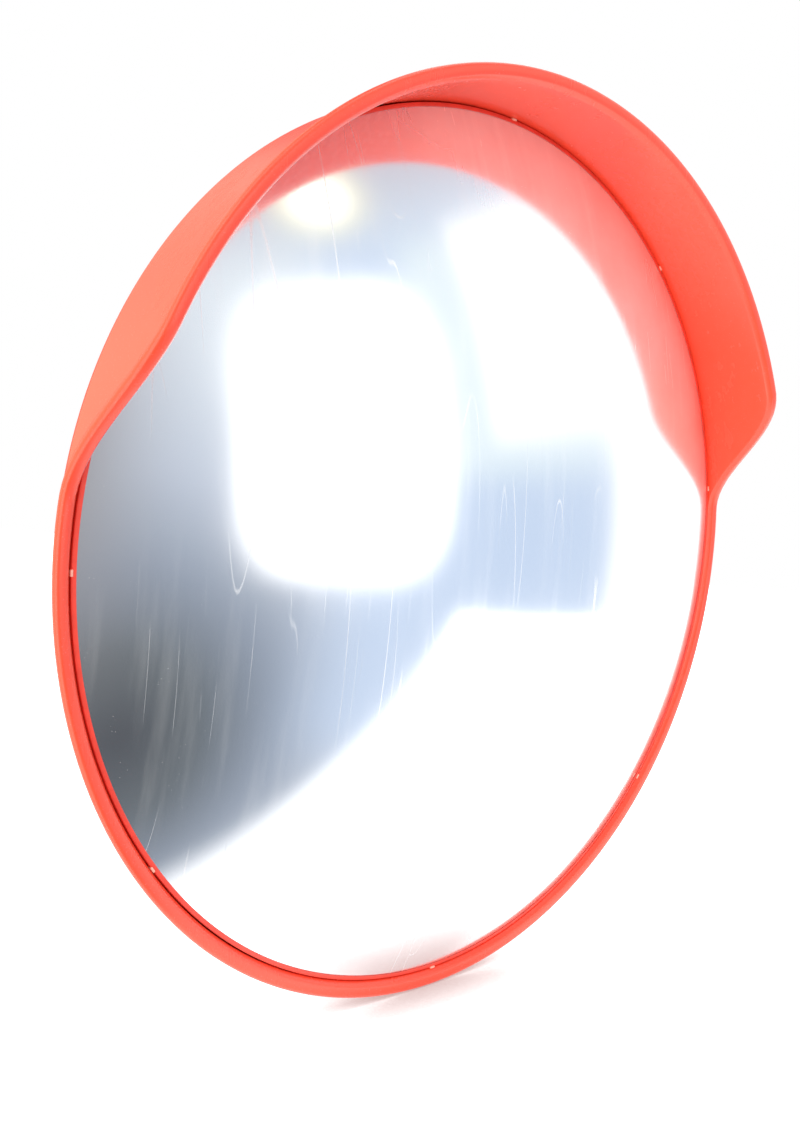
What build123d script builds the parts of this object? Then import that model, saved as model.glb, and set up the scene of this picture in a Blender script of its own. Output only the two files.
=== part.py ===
"""Traffic convex mirror: hooded plastic shell, convex mirror, tilt and swivel bracket, post clamp.

Frame: +Z up, the mirror faces -Y, +X is to the right of a person who faces the mirror.
The origin is the centre of the post clamp's bore. All lengths are in millimetres.
"""

from build123d import *
from math import cos, pi, radians, sin, sqrt, tan
import os

# ---- Mirror and its seat -------------------------------------------------------------------
rim_plane_y = -190.0        # plane of the mirror's edge, ahead of the post's axis
mirror_radius = 298.5       # radius of the mirror's edge
mirror_thickness = 3.0
sphere_radius = 715.0       # radius of curvature of the mirror's front
edge_gap = 2.5              # from the mirror's edge to the shell's wall
trim_wall = 1.5             # the edge trim's thickness
trim_front_lap = 1.2        # how far the trim's front leg reaches over the mirror
trim_rear_lap = 5.5         # how far its rear leg reaches under the mirror

# ---- Shell and hood ------------------------------------------------------------------------
wall = 3.0
wall_inner_radius = mirror_radius + edge_gap
wall_flare = radians(4.9)   # the wall opens towards the front by this angle
rim_lip = 3.5               # the rim's face stands this far ahead of the mirror's edge
hood_depth = 58.0           # height of the hood above the rim at its top
hood_gain = 3.0             # added depth towards the hood's sides, times 1 - cos(angle)
hood_full_angle = 64.5      # from the top: the hood keeps its full depth up to here
hood_end_angle = 83.6       # from the top: the hood has run out into the rim here
bead_width = 9.8
bead_depth = 6.0
rear_depth = 19.0           # the shell's rear corner behind the mirror's edge
rear_corner_radius = 7.0
back_depth = 38.0           # the mounting boss's rear face behind the mirror's edge
boss_radius = 88.0
boss_thickness = 4.0
boss_step = 2.5             # the boss stands this far proud of the dished back
boss_slope = 8.0            # radial width of the boss's sloping edge
rim_flat = 9.0              # radial width of the flat ring at the rear corner
rib_count = 12
rib_height = 4.0
rib_thickness = 3.0
rib_run_out = 6.0           # each radial rib slopes into the back over this length
rib_end_gap = 14.0          # from the shell's outer wall to the end of a radial rib
ring_rib_radius = 190.0
seat_rib_radius = 292.5
seat_rib_top = 6.5          # the seat rib's top behind the mirror's edge
seal_ledge = 2.0            # how far the foam ring reaches inwards of the trim's rear leg
drain_radius = 3.0
drain_circle_radius = 284.0
drain_angles = (-12.0, 0.0, 12.0)
clip_angles = (4.0, 42.0, 80.0, 129.0, 179.0, 232.5, 269.0, 317.0)
clip_width = 4.0
clip_depth = 3.0            # how far a clip reaches down the gap
clip_height = 0.6           # thickness of the clip's lap over the trim
clip_wall_gap = 0.4

# ---- Fixing of the shell to its bracket ----------------------------------------------------
plate_radius = 75.0
plate_thickness = 4.0
plate_bore = 12.0
plate_pitch = 76.0          # square pattern of the four shell bolts
base_size = 110.0
base_thickness = 5.0
base_corner = 12.0
plate_bolt_length = 25.0

# ---- Tilt joint ----------------------------------------------------------------------------
tilt_axis_y = -125.0
tongue_half_width = 7.8
disc_inner_face = 8.0
disc_thickness = 1.5
ear_thickness = 5.0
ear_radius = 16.0
ear_root_half_height = 24.0
tilt_bolt_length = 45.0

# ---- Swivel joint --------------------------------------------------------------------------
swivel_axis_y = -75.0
lug_half_height = 14.8
swivel_disc_inner_face = 15.0
yoke_plate = 6.0
yoke_half_width = 20.0
yoke_web_front_y = -104.0
weld_lap = 1.0              # a welded plate runs this far into the plate it is welded to
tongue_inset = 2.0          # the tongue's root stays inside the web's edge by this much
swivel_bolt_length = 65.0

# ---- Post clamp ----------------------------------------------------------------------------
post_radius = 38.0
hoop_thickness = 5.0
hoop_height = 60.0
split_gap = 8.0             # gap between the two halves' ears
ear_reach = 70.0
ear_corner = 8.0
clamp_bolt_x = 56.0
clamp_bolt_z = 16.0
clamp_bolt_length = 35.0
ear_bend = 6.0              # flat that blends an ear into the hoop

running_clearance = 0.05
washer_clearance = 0.2
hole_clearance = 0.3
lock_split = 0.8            # width of the split in a spring washer

# Metric fasteners: shank, across flats, head height, nut height,
# flat washer radius and thickness, lock washer radius and thickness.
M8 = dict(shank=4.0, flats=13.0, head=5.3, nut=6.5, washer=8.0, washer_t=1.6, lock=6.4, lock_t=2.0)
M10 = dict(shank=5.0, flats=16.0, head=6.4, nut=8.0, washer=10.0, washer_t=2.0, lock=7.6, lock_t=2.5)
M12 = dict(shank=6.0, flats=18.0, head=7.5, nut=10.0, washer=12.0, washer_t=2.5, lock=9.2, lock_t=3.0)

# ---- Derived places ------------------------------------------------------------------------
dome_centre = sqrt(sphere_radius**2 - mirror_radius**2)
shell_back_y = rim_plane_y + back_depth
plate_front_y = shell_back_y - boss_thickness - plate_thickness
base_rear_y = shell_back_y + base_thickness
ear_inner_x = disc_inner_face + disc_thickness
ear_outer_x = ear_inner_x + ear_thickness
yoke_inner_z = swivel_disc_inner_face + disc_thickness
yoke_outer_z = yoke_inner_z + yoke_plate
hoop_radius = post_radius + hoop_thickness
clamp_ear_face = split_gap / 2 + hoop_thickness

# Half section through the shell: local x is the radius, local y runs forward.
section = Plane(origin=(0, rim_plane_y, 0), x_dir=(1, 0, 0), z_dir=(0, 0, -1))


def wall_radius(forward, side=0.0):
    """Radius of the flared wall at a height ahead of the rim plane, side 0 inner or wall outer."""
    return wall_inner_radius + side + forward * tan(wall_flare)


def hood_height(angle):
    """Height of the lip above the rim at an angle from the top, in degrees."""
    angle = abs(angle)
    full = hood_depth + hood_gain * (1 - cos(radians(angle)))
    if angle <= hood_full_angle:
        return full
    if angle >= hood_end_angle:
        return 0.0
    share = (angle - hood_full_angle) / (hood_end_angle - hood_full_angle)
    return full * (0.5 + 0.5 * cos(pi * share))


def dome_height(radius, sphere):
    """Height of a spherical mirror surface ahead of the rim plane."""
    return sqrt(sphere**2 - radius**2) - dome_centre


def disc_group(plane, places, radius, thickness, size):
    """Washers or spacers that lie on the plane, one at each place, for a size of bolt."""
    with BuildSketch(plane) as ring:
        with Locations(*places):
            Circle(radius)
            Circle(size["shank"] + washer_clearance, mode=Mode.SUBTRACT)
    extrude(ring.sketch, amount=thickness)


def bolt_group(plane, places, size, length):
    """Hexagon bolts whose heads stand on the plane and whose shanks point the other way."""
    with BuildSketch(plane) as heads:
        with Locations(*places):
            RegularPolygon(size["flats"] / 2, 6, major_radius=False)
    extrude(heads.sketch, amount=size["head"])
    with BuildSketch(plane) as shanks:
        with Locations(*places):
            Circle(size["shank"])
    extrude(shanks.sketch, amount=-length)


def nut_group(plane, places, size):
    """Hexagon nuts that stand on the plane."""
    with BuildSketch(plane) as hexagons:
        with Locations(*places):
            RegularPolygon(size["flats"] / 2, 6, major_radius=False)
            Circle(size["shank"] + running_clearance, mode=Mode.SUBTRACT)
    extrude(hexagons.sketch, amount=size["nut"])


def lock_washer_group(plane, places, size):
    """Split spring washers that lie on the plane."""
    with BuildSketch(plane) as coils:
        with Locations(*places):
            Circle(size["lock"])
            Circle(size["shank"] + washer_clearance, mode=Mode.SUBTRACT)
            with Locations((size["lock"] - 1.5, 0)):
                Rectangle(4.0, lock_split, mode=Mode.SUBTRACT)
    extrude(coils.sketch, amount=size["lock_t"])


def facing(x=0.0, y=0.0, z=0.0, axis=(0, 0, 1), right=(1, 0, 0)):
    """Plane at a point whose normal is the axis."""
    return Plane(origin=(x, y, z), x_dir=right, z_dir=axis)


# ============================ Mirror head ===================================================

lip_reference = bead_width / 2      # the lip's side profile is drawn for the middle of the bead
ogee_steps = 8
crown_steps = 4


def lip_profile(behind, front):
    """Area between the lip's side profile, set back by some depth, and a plane at front."""
    run_out = hood_end_angle - hood_full_angle
    ogee = [hood_end_angle - run_out * i / ogee_steps for i in range(ogee_steps + 1)]
    crown = [hood_full_angle * (1 - i / crown_steps) for i in range(crown_steps + 1)]
    over = 1.2 * mirror_radius

    def side_point(angle):
        forward = hood_height(angle) + rim_lip
        height = wall_radius(forward, lip_reference) * cos(radians(angle))
        return (rim_plane_y - forward + behind, height)

    with BuildLine() as outline:
        rise = Spline(*[side_point(a) for a in ogee], tangents=((0, 1), (0, 1)))
        top = Spline(*[side_point(a) for a in crown], tangents=((0, 1), (0, 1)))
        Polyline(
            top @ 1,
            ((top @ 1).X, over),
            (front, over),
            (front, -over),
            ((rise @ 0).X, -over),
            rise @ 0,
        )
    return outline.line


# The bead round the lip: it follows the rim, climbs the two ogees and crosses the hood.
hood_top = hood_depth + hood_gain + bead_depth
side_plane = Plane.YZ.offset(-1.2 * mirror_radius)
with BuildPart() as lip_bead:
    with BuildSketch(section):
        with BuildLine():
            Polyline(
                (wall_radius(-bead_depth), -bead_depth),
                (wall_radius(-bead_depth, bead_width), -bead_depth),
                (wall_radius(hood_top, bead_width), hood_top),
                (wall_radius(hood_top), hood_top),
                close=True,
            )
        make_face()
    revolve(axis=Axis.Y)
    with BuildSketch(side_plane):
        with BuildLine():
            add(lip_profile(bead_depth, rim_plane_y + 4 * bead_depth))
        make_face()
    extrude(amount=2.4 * mirror_radius, mode=Mode.SUBTRACT)

# One moulding: mounting boss, dished back, flared wall, hood and the bead round the lip.
with BuildPart() as back_shell:
    with BuildSketch(section) as shell_section:
        with BuildLine():
            Polyline(
                (0, -back_depth),
                (boss_radius, -back_depth),
                (boss_radius + boss_slope, boss_step - back_depth),
                (wall_radius(-rear_depth, wall) - rim_flat, -rear_depth),
                (wall_radius(-rear_depth, wall), -rear_depth),
                (wall_radius(hood_top, wall), hood_top),
                (wall_radius(hood_top), hood_top),
                (wall_radius(wall - rear_depth), wall - rear_depth),
                (wall_radius(wall - rear_depth) - rim_flat, wall - rear_depth),
                (boss_radius + boss_slope - 1, boss_step + wall - back_depth),
                (boss_radius - 1, boss_thickness - back_depth),
                (0, boss_thickness - back_depth),
                close=True,
            )
        make_face()
        corners = shell_section.vertices()
        outer_corner = corners.sort_by_distance((wall_radius(-rear_depth, wall), -rear_depth))[0]
        fillet(outer_corner, radius=rear_corner_radius)
        corners = shell_section.vertices()
        inner_corner = corners.sort_by_distance((wall_radius(wall - rear_depth), wall - rear_depth))[0]
        fillet(inner_corner, radius=rear_corner_radius - wall)
    revolve(axis=Axis.Y)
    add(lip_bead.part)
    with BuildSketch(side_plane):
        with BuildLine():
            add(lip_profile(0, rim_plane_y - hood_top - 20))
        make_face()
    extrude(amount=2.4 * mirror_radius, mode=Mode.SUBTRACT)

    # Seat rib for the mirror, ring rib and radial ribs on the back.
    dish_start = boss_radius + boss_slope
    dish_end = wall_radius(-rear_depth, wall) - rim_flat
    dish_rise = (back_depth - boss_step - rear_depth) / (dish_end - dish_start)

    def back_face(radius):
        """Height of the dished back's outer face at a radius."""
        return boss_step - back_depth + (radius - dish_start) * dish_rise

    with BuildSketch(section) as ring_ribs:
        with BuildLine():
            Polyline(
                (seat_rib_radius - wall / 2, wall / 2 - rear_depth),
                (seat_rib_radius + wall / 2, wall / 2 - rear_depth),
                (seat_rib_radius + wall / 2, -seat_rib_top),
                (seat_rib_radius - wall / 2, -seat_rib_top),
                close=True,
            )
        make_face()
        with Locations((ring_rib_radius, back_face(ring_rib_radius) - rib_height / 2 + wall / 4)):
            Rectangle(rib_thickness, rib_height + wall / 2)
    revolve(axis=Axis.Y)
    for i in range(rib_count):
        turn = 2 * pi * (i + 0.5) / rib_count
        outward = (sin(turn), 0, cos(turn))
        rib_plane = Plane(origin=(0, rim_plane_y, 0), x_dir=outward, z_dir=(cos(turn), 0, -sin(turn)))
        with BuildSketch(rib_plane) as rib:
            with BuildLine():
                start = boss_radius + rib_run_out
                end = wall_radius(-rear_depth, wall) - rib_end_gap
                Polyline(
                    (start, back_face(start) + wall / 2),
                    (start, back_face(start) - rib_height),
                    (end - rib_run_out, back_face(end - rib_run_out) - rib_height),
                    (end, back_face(end) + wall / 2),
                    close=True,
                )
            make_face()
        extrude(rib.sketch, amount=rib_thickness / 2, both=True)

    with BuildSketch(facing(y=shell_back_y, axis=(0, -1, 0))) as bolt_holes:
        with GridLocations(plate_pitch, plate_pitch, 2, 2):
            Circle(M8["shank"] + hole_clearance)
    extrude(amount=boss_thickness, mode=Mode.SUBTRACT)
    with BuildSketch(facing(y=shell_back_y, axis=(0, -1, 0))) as drains:
        for angle in drain_angles:
            turn = radians(angle)
            with Locations((drain_circle_radius * sin(turn), -drain_circle_radius * cos(turn))):
                Circle(drain_radius)
    extrude(amount=back_depth - wall, mode=Mode.SUBTRACT)
back_shell.part.label = "back_shell"

# Convex mirror: a spherical cap of even thickness with a square-cut edge.
with BuildPart() as mirror_dome:
    inner_sphere = sphere_radius - mirror_thickness
    with BuildSketch(section):
        with BuildLine():
            half = mirror_radius / 2
            ThreePointArc(
                (0, dome_height(0, sphere_radius)),
                (half, dome_height(half, sphere_radius)),
                (mirror_radius, 0),
            )
            Line((mirror_radius, 0), (mirror_radius, dome_height(mirror_radius, inner_sphere)))
            ThreePointArc(
                (mirror_radius, dome_height(mirror_radius, inner_sphere)),
                (half, dome_height(half, inner_sphere)),
                (0, dome_height(0, inner_sphere)),
            )
            Line((0, dome_height(0, inner_sphere)), (0, dome_height(0, sphere_radius)))
        make_face()
    revolve(axis=Axis.Y)
mirror_dome.part.label = "mirror_dome"

# Thin U-shaped trim pushed over the mirror's edge; its front leg shows as a narrow ring.
trim_radius = mirror_radius + trim_wall
trim_rear_radius = mirror_radius - trim_rear_lap
with BuildPart() as edge_trim:
    with BuildSketch(section):
        with BuildLine():
            trim_front_radius = mirror_radius - trim_front_lap
            front_leg = dome_height(trim_front_radius, sphere_radius) + running_clearance
            rear_leg = dome_height(trim_rear_radius, inner_sphere) - running_clearance
            edge_underside = dome_height(mirror_radius, inner_sphere) - running_clearance
            slot_radius = mirror_radius + running_clearance
            Polyline(
                (trim_front_radius, front_leg),
                (trim_front_radius, front_leg + 0.6 * trim_wall),
                (trim_radius - 0.4 * trim_wall, running_clearance + 0.6 * trim_wall),
                (trim_radius, running_clearance),
                (trim_radius, edge_underside - trim_wall),
                (trim_rear_radius, rear_leg - trim_wall),
                (trim_rear_radius, rear_leg),
                (slot_radius, edge_underside),
                (slot_radius, running_clearance),
                close=True,
            )
        make_face()
    revolve(axis=Axis.Y)
edge_trim.part.label = "edge_trim"

# Foam ring between the seat rib and the trim behind the mirror's edge.
with BuildPart() as edge_seal:
    with BuildSketch(section):
        with BuildLine():
            seal_in = trim_rear_radius + running_clearance
            seal_out = mirror_radius
            Polyline(
                (seal_in - seal_ledge, -seat_rib_top),
                (seal_out, -seat_rib_top),
                (seal_out, edge_underside - trim_wall - running_clearance),
                (seal_in, rear_leg - trim_wall - running_clearance),
                (seal_in - seal_ledge, rear_leg - trim_wall - running_clearance),
                close=True,
            )
        make_face()
    revolve(axis=Axis.Y)
edge_seal.part.label = "edge_seal"

# Small snap clips wedged in the gap, each lapping over the edge trim.
with BuildPart() as mirror_clips:
    for angle in clip_angles:
        turn = radians(angle)
        outward = (sin(turn), 0, cos(turn))
        clip_plane = Plane(origin=(0, rim_plane_y, 0), x_dir=outward, z_dir=(cos(turn), 0, -sin(turn)))
        with BuildSketch(clip_plane) as clip:
            with BuildLine():
                lap_radius = trim_radius - 0.4 * trim_wall
                lap_height = 0.6 * trim_wall + 3 * running_clearance
                Polyline(
                    (lap_radius, lap_height),
                    (trim_radius + 2 * running_clearance, running_clearance),
                    (trim_radius + 2 * running_clearance, -clip_depth),
                    (wall_inner_radius - clip_wall_gap, -clip_depth),
                    (wall_inner_radius - 2 * running_clearance, lap_height + clip_height),
                    (lap_radius, lap_height + clip_height),
                    close=True,
                )
            make_face()
        extrude(clip.sketch, amount=clip_width / 2, both=True)
mirror_clips.part.label = "mirror_clips"

# Steel plate inside the shell that spreads the bolts' load over the boss.
plate_places = [(x * plate_pitch / 2, z * plate_pitch / 2) for x in (-1, 1) for z in (-1, 1)]
with BuildPart() as backing_plate:
    with BuildSketch(facing(y=shell_back_y - boss_thickness, axis=(0, -1, 0))):
        Circle(plate_radius)
        with Locations(*plate_places):
            Circle(M8["shank"] + hole_clearance, mode=Mode.SUBTRACT)
        Circle(plate_bore, mode=Mode.SUBTRACT)
    extrude(amount=plate_thickness)
backing_plate.part.label = "backing_plate"

with BuildPart() as plate_bolts:
    bolt_group(facing(y=plate_front_y, axis=(0, -1, 0)), plate_places, M8, plate_bolt_length)
plate_bolts.part.label = "plate_bolts"

with BuildPart() as plate_washers:
    disc_group(facing(y=base_rear_y, axis=(0, 1, 0)), plate_places, M8["washer"], M8["washer_t"], M8)
plate_washers.part.label = "plate_washers"

washer_y = base_rear_y + M8["washer_t"]
with BuildPart() as plate_lock_washers:
    lock_washer_group(facing(y=washer_y, axis=(0, 1, 0)), plate_places, M8)
plate_lock_washers.part.label = "plate_lock_washers"

with BuildPart() as plate_nuts:
    nut_group(facing(y=washer_y + M8["lock_t"], axis=(0, 1, 0)), plate_places, M8)
plate_nuts.part.label = "plate_nuts"

# Base plate with two ears that straddle the yoke's tongue.
with BuildPart() as tilt_bracket:
    with BuildSketch(facing(y=shell_back_y, axis=(0, 1, 0))):
        RectangleRounded(base_size, base_size, base_corner)
        with Locations(*plate_places):
            Circle(M8["shank"] + hole_clearance, mode=Mode.SUBTRACT)
    extrude(amount=base_thickness)
    for ear_x in (-ear_outer_x, ear_inner_x):
        with BuildSketch(Plane.YZ.offset(ear_x)) as ear:
            with BuildLine():
                Polyline(
                    (tilt_axis_y, ear_radius),
                    (base_rear_y - weld_lap, ear_root_half_height),
                    (base_rear_y - weld_lap, -ear_root_half_height),
                    (tilt_axis_y, -ear_radius),
                    close=True,
                )
            make_face()
            with Locations((tilt_axis_y, 0)):
                Circle(ear_radius)
                Circle(M10["shank"] + washer_clearance, mode=Mode.SUBTRACT)
        extrude(ear.sketch, amount=ear_thickness)
tilt_bracket.part.label = "tilt_bracket"

tilt_place = [(0, 0)]
with BuildPart() as tilt_washers:
    for side in (-1, 1):
        plane = facing(x=side * ear_outer_x, y=tilt_axis_y, axis=(side, 0, 0), right=(0, 1, 0))
        disc_group(plane, tilt_place, M10["washer"], M10["washer_t"], M10)
tilt_washers.part.label = "tilt_washers"

with BuildPart() as tilt_friction_discs:
    for side in (-1, 1):
        plane = facing(x=side * disc_inner_face, y=tilt_axis_y, axis=(side, 0, 0), right=(0, 1, 0))
        disc_group(plane, tilt_place, ear_radius - 1, disc_thickness, M10)
tilt_friction_discs.part.label = "tilt_friction_discs"

with BuildPart() as tilt_bolt:
    head_x = ear_outer_x + M10["washer_t"]
    head_plane = facing(x=-head_x, y=tilt_axis_y, axis=(-1, 0, 0), right=(0, 1, 0))
    bolt_group(head_plane, tilt_place, M10, tilt_bolt_length)
tilt_bolt.part.label = "tilt_bolt"

with BuildPart() as tilt_lock_washer:
    lock_washer_group(facing(x=head_x, y=tilt_axis_y, axis=(1, 0, 0), right=(0, 1, 0)), tilt_place, M10)
tilt_lock_washer.part.label = "tilt_lock_washer"

with BuildPart() as tilt_nut:
    nut_x = head_x + M10["lock_t"]
    nut_group(facing(x=nut_x, y=tilt_axis_y, axis=(1, 0, 0), right=(0, 1, 0)), tilt_place, M10)
tilt_nut.part.label = "tilt_nut"

# ============================ Swivel yoke ===================================================

# Fork over the clamp's lug, web, and the tongue that the mirror tilts on.
with BuildPart() as swivel_yoke:
    for low in (yoke_inner_z, -yoke_outer_z):
        with BuildSketch(Plane.XY.offset(low)) as fork:
            with BuildLine():
                Polyline(
                    (-yoke_half_width, swivel_axis_y),
                    (-yoke_half_width, yoke_web_front_y),
                    (yoke_half_width, yoke_web_front_y),
                    (yoke_half_width, swivel_axis_y),
                    close=True,
                )
            make_face()
            with Locations((0, swivel_axis_y)):
                Circle(yoke_half_width)
                Circle(M12["shank"] + washer_clearance, mode=Mode.SUBTRACT)
        extrude(fork.sketch, amount=yoke_plate)
    with BuildSketch(facing(y=yoke_web_front_y, axis=(0, 1, 0))):
        Rectangle(2 * yoke_half_width, 2 * yoke_outer_z)
    extrude(amount=yoke_plate)
    with BuildSketch(Plane.YZ.offset(-tongue_half_width)) as tongue:
        with BuildLine():
            Polyline(
                (tilt_axis_y, ear_radius),
                (yoke_web_front_y + weld_lap, yoke_outer_z - tongue_inset),
                (yoke_web_front_y + weld_lap, tongue_inset - yoke_outer_z),
                (tilt_axis_y, -ear_radius),
                close=True,
            )
        make_face()
        with Locations((tilt_axis_y, 0)):
            Circle(ear_radius)
            Circle(M10["shank"] + running_clearance, mode=Mode.SUBTRACT)
    extrude(tongue.sketch, amount=2 * tongue_half_width)
swivel_yoke.part.label = "swivel_yoke"

swivel_place = [(0, 0)]
with BuildPart() as swivel_washers:
    for side in (-1, 1):
        plane = facing(y=swivel_axis_y, z=side * yoke_outer_z, axis=(0, 0, side))
        disc_group(plane, swivel_place, M12["washer"], M12["washer_t"], M12)
swivel_washers.part.label = "swivel_washers"

with BuildPart() as swivel_friction_discs:
    for side in (-1, 1):
        plane = facing(y=swivel_axis_y, z=side * swivel_disc_inner_face, axis=(0, 0, side))
        disc_group(plane, swivel_place, yoke_half_width - 1, disc_thickness, M12)
swivel_friction_discs.part.label = "swivel_friction_discs"

head_z = yoke_outer_z + M12["washer_t"]
with BuildPart() as swivel_bolt:
    bolt_group(facing(y=swivel_axis_y, z=head_z), swivel_place, M12, swivel_bolt_length)
swivel_bolt.part.label = "swivel_bolt"

with BuildPart() as swivel_lock_washer:
    lock_washer_group(facing(y=swivel_axis_y, z=-head_z, axis=(0, 0, -1)), swivel_place, M12)
swivel_lock_washer.part.label = "swivel_lock_washer"

with BuildPart() as swivel_nut:
    nut_z = -head_z - M12["lock_t"]
    nut_group(facing(y=swivel_axis_y, z=nut_z, axis=(0, 0, -1)), swivel_place, M12)
swivel_nut.part.label = "swivel_nut"

# ============================ Post clamp ====================================================


def half_hoop(side):
    """Half hoop with two bolt ears. side is -1 for the front half and 1 for the rear half."""
    with BuildSketch(Plane.XY.offset(-hoop_height / 2)) as hoop:
        Circle(hoop_radius)
        with Locations((0, side * (clamp_ear_face / 2 + ear_bend / 4))):
            Rectangle(2 * hoop_radius + ear_bend, clamp_ear_face + ear_bend / 2)
        with Locations((0, side * clamp_ear_face / 2)):
            Rectangle(2 * ear_reach, clamp_ear_face)
        Circle(post_radius, mode=Mode.SUBTRACT)
        with Locations((0, side * (split_gap / 2 - ear_reach))):
            Rectangle(3 * ear_reach, 2 * ear_reach, mode=Mode.SUBTRACT)
    extrude(hoop.sketch, amount=hoop_height)


def ear_corners(half):
    """The four upright edges at the ends of a half hoop's ears, which run along Y."""
    return half.edges().filter_by(Axis.Y).filter_by(lambda e: abs(abs(e.center().X) - ear_reach) < 0.1)


def clamp_holes(side):
    """Bolt holes through a half hoop's ears."""
    with BuildSketch(facing(axis=(0, 1, 0))) as holes:
        with Locations(*clamp_places):
            Circle(M8["shank"] + hole_clearance)
    extrude(holes.sketch, amount=side * 2 * clamp_ear_face, mode=Mode.SUBTRACT)


clamp_places = [(x * clamp_bolt_x, z * clamp_bolt_z) for x in (-1, 1) for z in (-1, 1)]
with BuildPart() as clamp_front:
    half_hoop(-1)
    fillet(ear_corners(clamp_front), radius=ear_corner)
    with BuildSketch(Plane.XY.offset(-lug_half_height)) as lug:
        with Locations((0, (swivel_axis_y - post_radius) / 2)):
            Rectangle(2 * yoke_half_width, -swivel_axis_y - post_radius)
        with Locations((0, swivel_axis_y)):
            Circle(yoke_half_width)
            Circle(M12["shank"] + running_clearance, mode=Mode.SUBTRACT)
        Circle(post_radius, mode=Mode.SUBTRACT)
    extrude(lug.sketch, amount=2 * lug_half_height)
    clamp_holes(-1)
clamp_front.part.label = "clamp_front"

with BuildPart() as clamp_rear:
    half_hoop(1)
    fillet(ear_corners(clamp_rear), radius=ear_corner)
    clamp_holes(1)
clamp_rear.part.label = "clamp_rear"

with BuildPart() as clamp_washers:
    for side in (-1, 1):
        plane = facing(y=side * clamp_ear_face, axis=(0, side, 0))
        disc_group(plane, clamp_places, M8["washer"], M8["washer_t"], M8)
clamp_washers.part.label = "clamp_washers"

clamp_head_y = clamp_ear_face + M8["washer_t"]
with BuildPart() as clamp_bolts:
    bolt_group(facing(y=-clamp_head_y, axis=(0, -1, 0)), clamp_places, M8, clamp_bolt_length)
clamp_bolts.part.label = "clamp_bolts"

with BuildPart() as clamp_lock_washers:
    lock_washer_group(facing(y=clamp_head_y, axis=(0, 1, 0)), clamp_places, M8)
clamp_lock_washers.part.label = "clamp_lock_washers"

with BuildPart() as clamp_nuts:
    nut_group(facing(y=clamp_head_y + M8["lock_t"], axis=(0, 1, 0)), clamp_places, M8)
clamp_nuts.part.label = "clamp_nuts"

# ============================ Output ========================================================

pieces = [
    back_shell, mirror_dome, edge_trim, edge_seal, mirror_clips, backing_plate,
    plate_bolts, plate_washers, plate_lock_washers, plate_nuts,
    tilt_bracket, tilt_bolt, tilt_washers, tilt_friction_discs, tilt_lock_washer, tilt_nut,
    swivel_yoke, swivel_bolt, swivel_washers, swivel_friction_discs, swivel_lock_washer, swivel_nut,
    clamp_front, clamp_rear, clamp_bolts, clamp_washers, clamp_lock_washers, clamp_nuts,
]
os.makedirs("parts", exist_ok=True)
for piece in pieces:
    export_step(piece.part, f"parts/{piece.part.label}.step")
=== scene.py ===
"""Traffic convex mirror: finished meshes, materials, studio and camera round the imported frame.

Everything is in metres. +Z is up, the mirror faces -Y, and the origin is the centre of the post
clamp's bore.
"""

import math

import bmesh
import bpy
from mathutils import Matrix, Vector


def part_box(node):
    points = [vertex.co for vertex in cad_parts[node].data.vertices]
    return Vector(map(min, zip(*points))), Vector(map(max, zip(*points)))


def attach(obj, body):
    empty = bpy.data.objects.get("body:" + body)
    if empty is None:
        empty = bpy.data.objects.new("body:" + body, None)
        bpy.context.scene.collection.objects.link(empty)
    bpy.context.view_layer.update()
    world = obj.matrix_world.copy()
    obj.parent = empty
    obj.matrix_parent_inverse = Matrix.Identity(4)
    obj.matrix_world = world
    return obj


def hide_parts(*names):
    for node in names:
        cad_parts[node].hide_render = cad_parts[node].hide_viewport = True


bl_info = {
    "name": "Road Mirror Builder",
    "version": (1, 0, 0),
    "blender": (4, 5, 0),
    "location": "3D View > Sidebar > Road Mirror",
    "description": "Builds a hooded convex road mirror on a tilting and swivelling post bracket",
    "category": "Object",
}

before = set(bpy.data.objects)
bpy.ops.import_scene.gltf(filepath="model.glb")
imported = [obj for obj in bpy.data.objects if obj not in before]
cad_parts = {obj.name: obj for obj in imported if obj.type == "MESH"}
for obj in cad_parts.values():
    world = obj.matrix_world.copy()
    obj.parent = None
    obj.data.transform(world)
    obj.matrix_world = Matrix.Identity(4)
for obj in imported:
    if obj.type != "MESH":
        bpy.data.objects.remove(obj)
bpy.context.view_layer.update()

MM = 0.001
FULL_TURN = 2 * math.pi
SEAM = 1e-7             # points closer than this are one point
FIT = 0.05 * MM         # running fit between two pieces

# ---- Places taken from the frame -----------------------------------------------------------
head_body = "mirror_head"
swivel_body = "swivel"
clamp_body = "post_clamp_body"

mirror_low, mirror_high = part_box("mirror_dome")
shell_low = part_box("back_shell")[0]


# ============================ Sizes and colours a user may change ===========================


def length(label, text, default):
    """A length setting in metres."""
    return bpy.props.FloatProperty(name=label, description=text, default=default, min=0.0, unit="LENGTH")


def turn(label, text, default):
    """An angle setting, with its default in degrees."""
    return bpy.props.FloatProperty(
        name=label, description=text, default=math.radians(default), subtype="ANGLE", unit="ROTATION"
    )


def colour(label, text, default):
    """A linear colour setting."""
    return bpy.props.FloatVectorProperty(
        name=label, description=text, default=default, size=3, min=0.0, max=1.0, subtype="COLOR"
    )


class ReflectorSizes(bpy.types.PropertyGroup):
    """The mirror, its edge trim and the clips in the gap round it."""

    curvature: length("Curvature", "Radius of the sphere that the mirror is cut from", 0.715)
    thickness: length("Thickness", "Thickness of the mirror sheet", 3 * MM)
    trim_wall: length("Trim wall", "Thickness of the vinyl edge trim", 1.5 * MM)
    trim_front: length("Trim front leg", "How far the trim laps over the mirror's face", 1.2 * MM)
    trim_rear: length("Trim rear leg", "How far the trim laps under the mirror", 5.5 * MM)
    clip_width: length("Clip width", "Width of a snap clip along the gap", 4 * MM)


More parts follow.
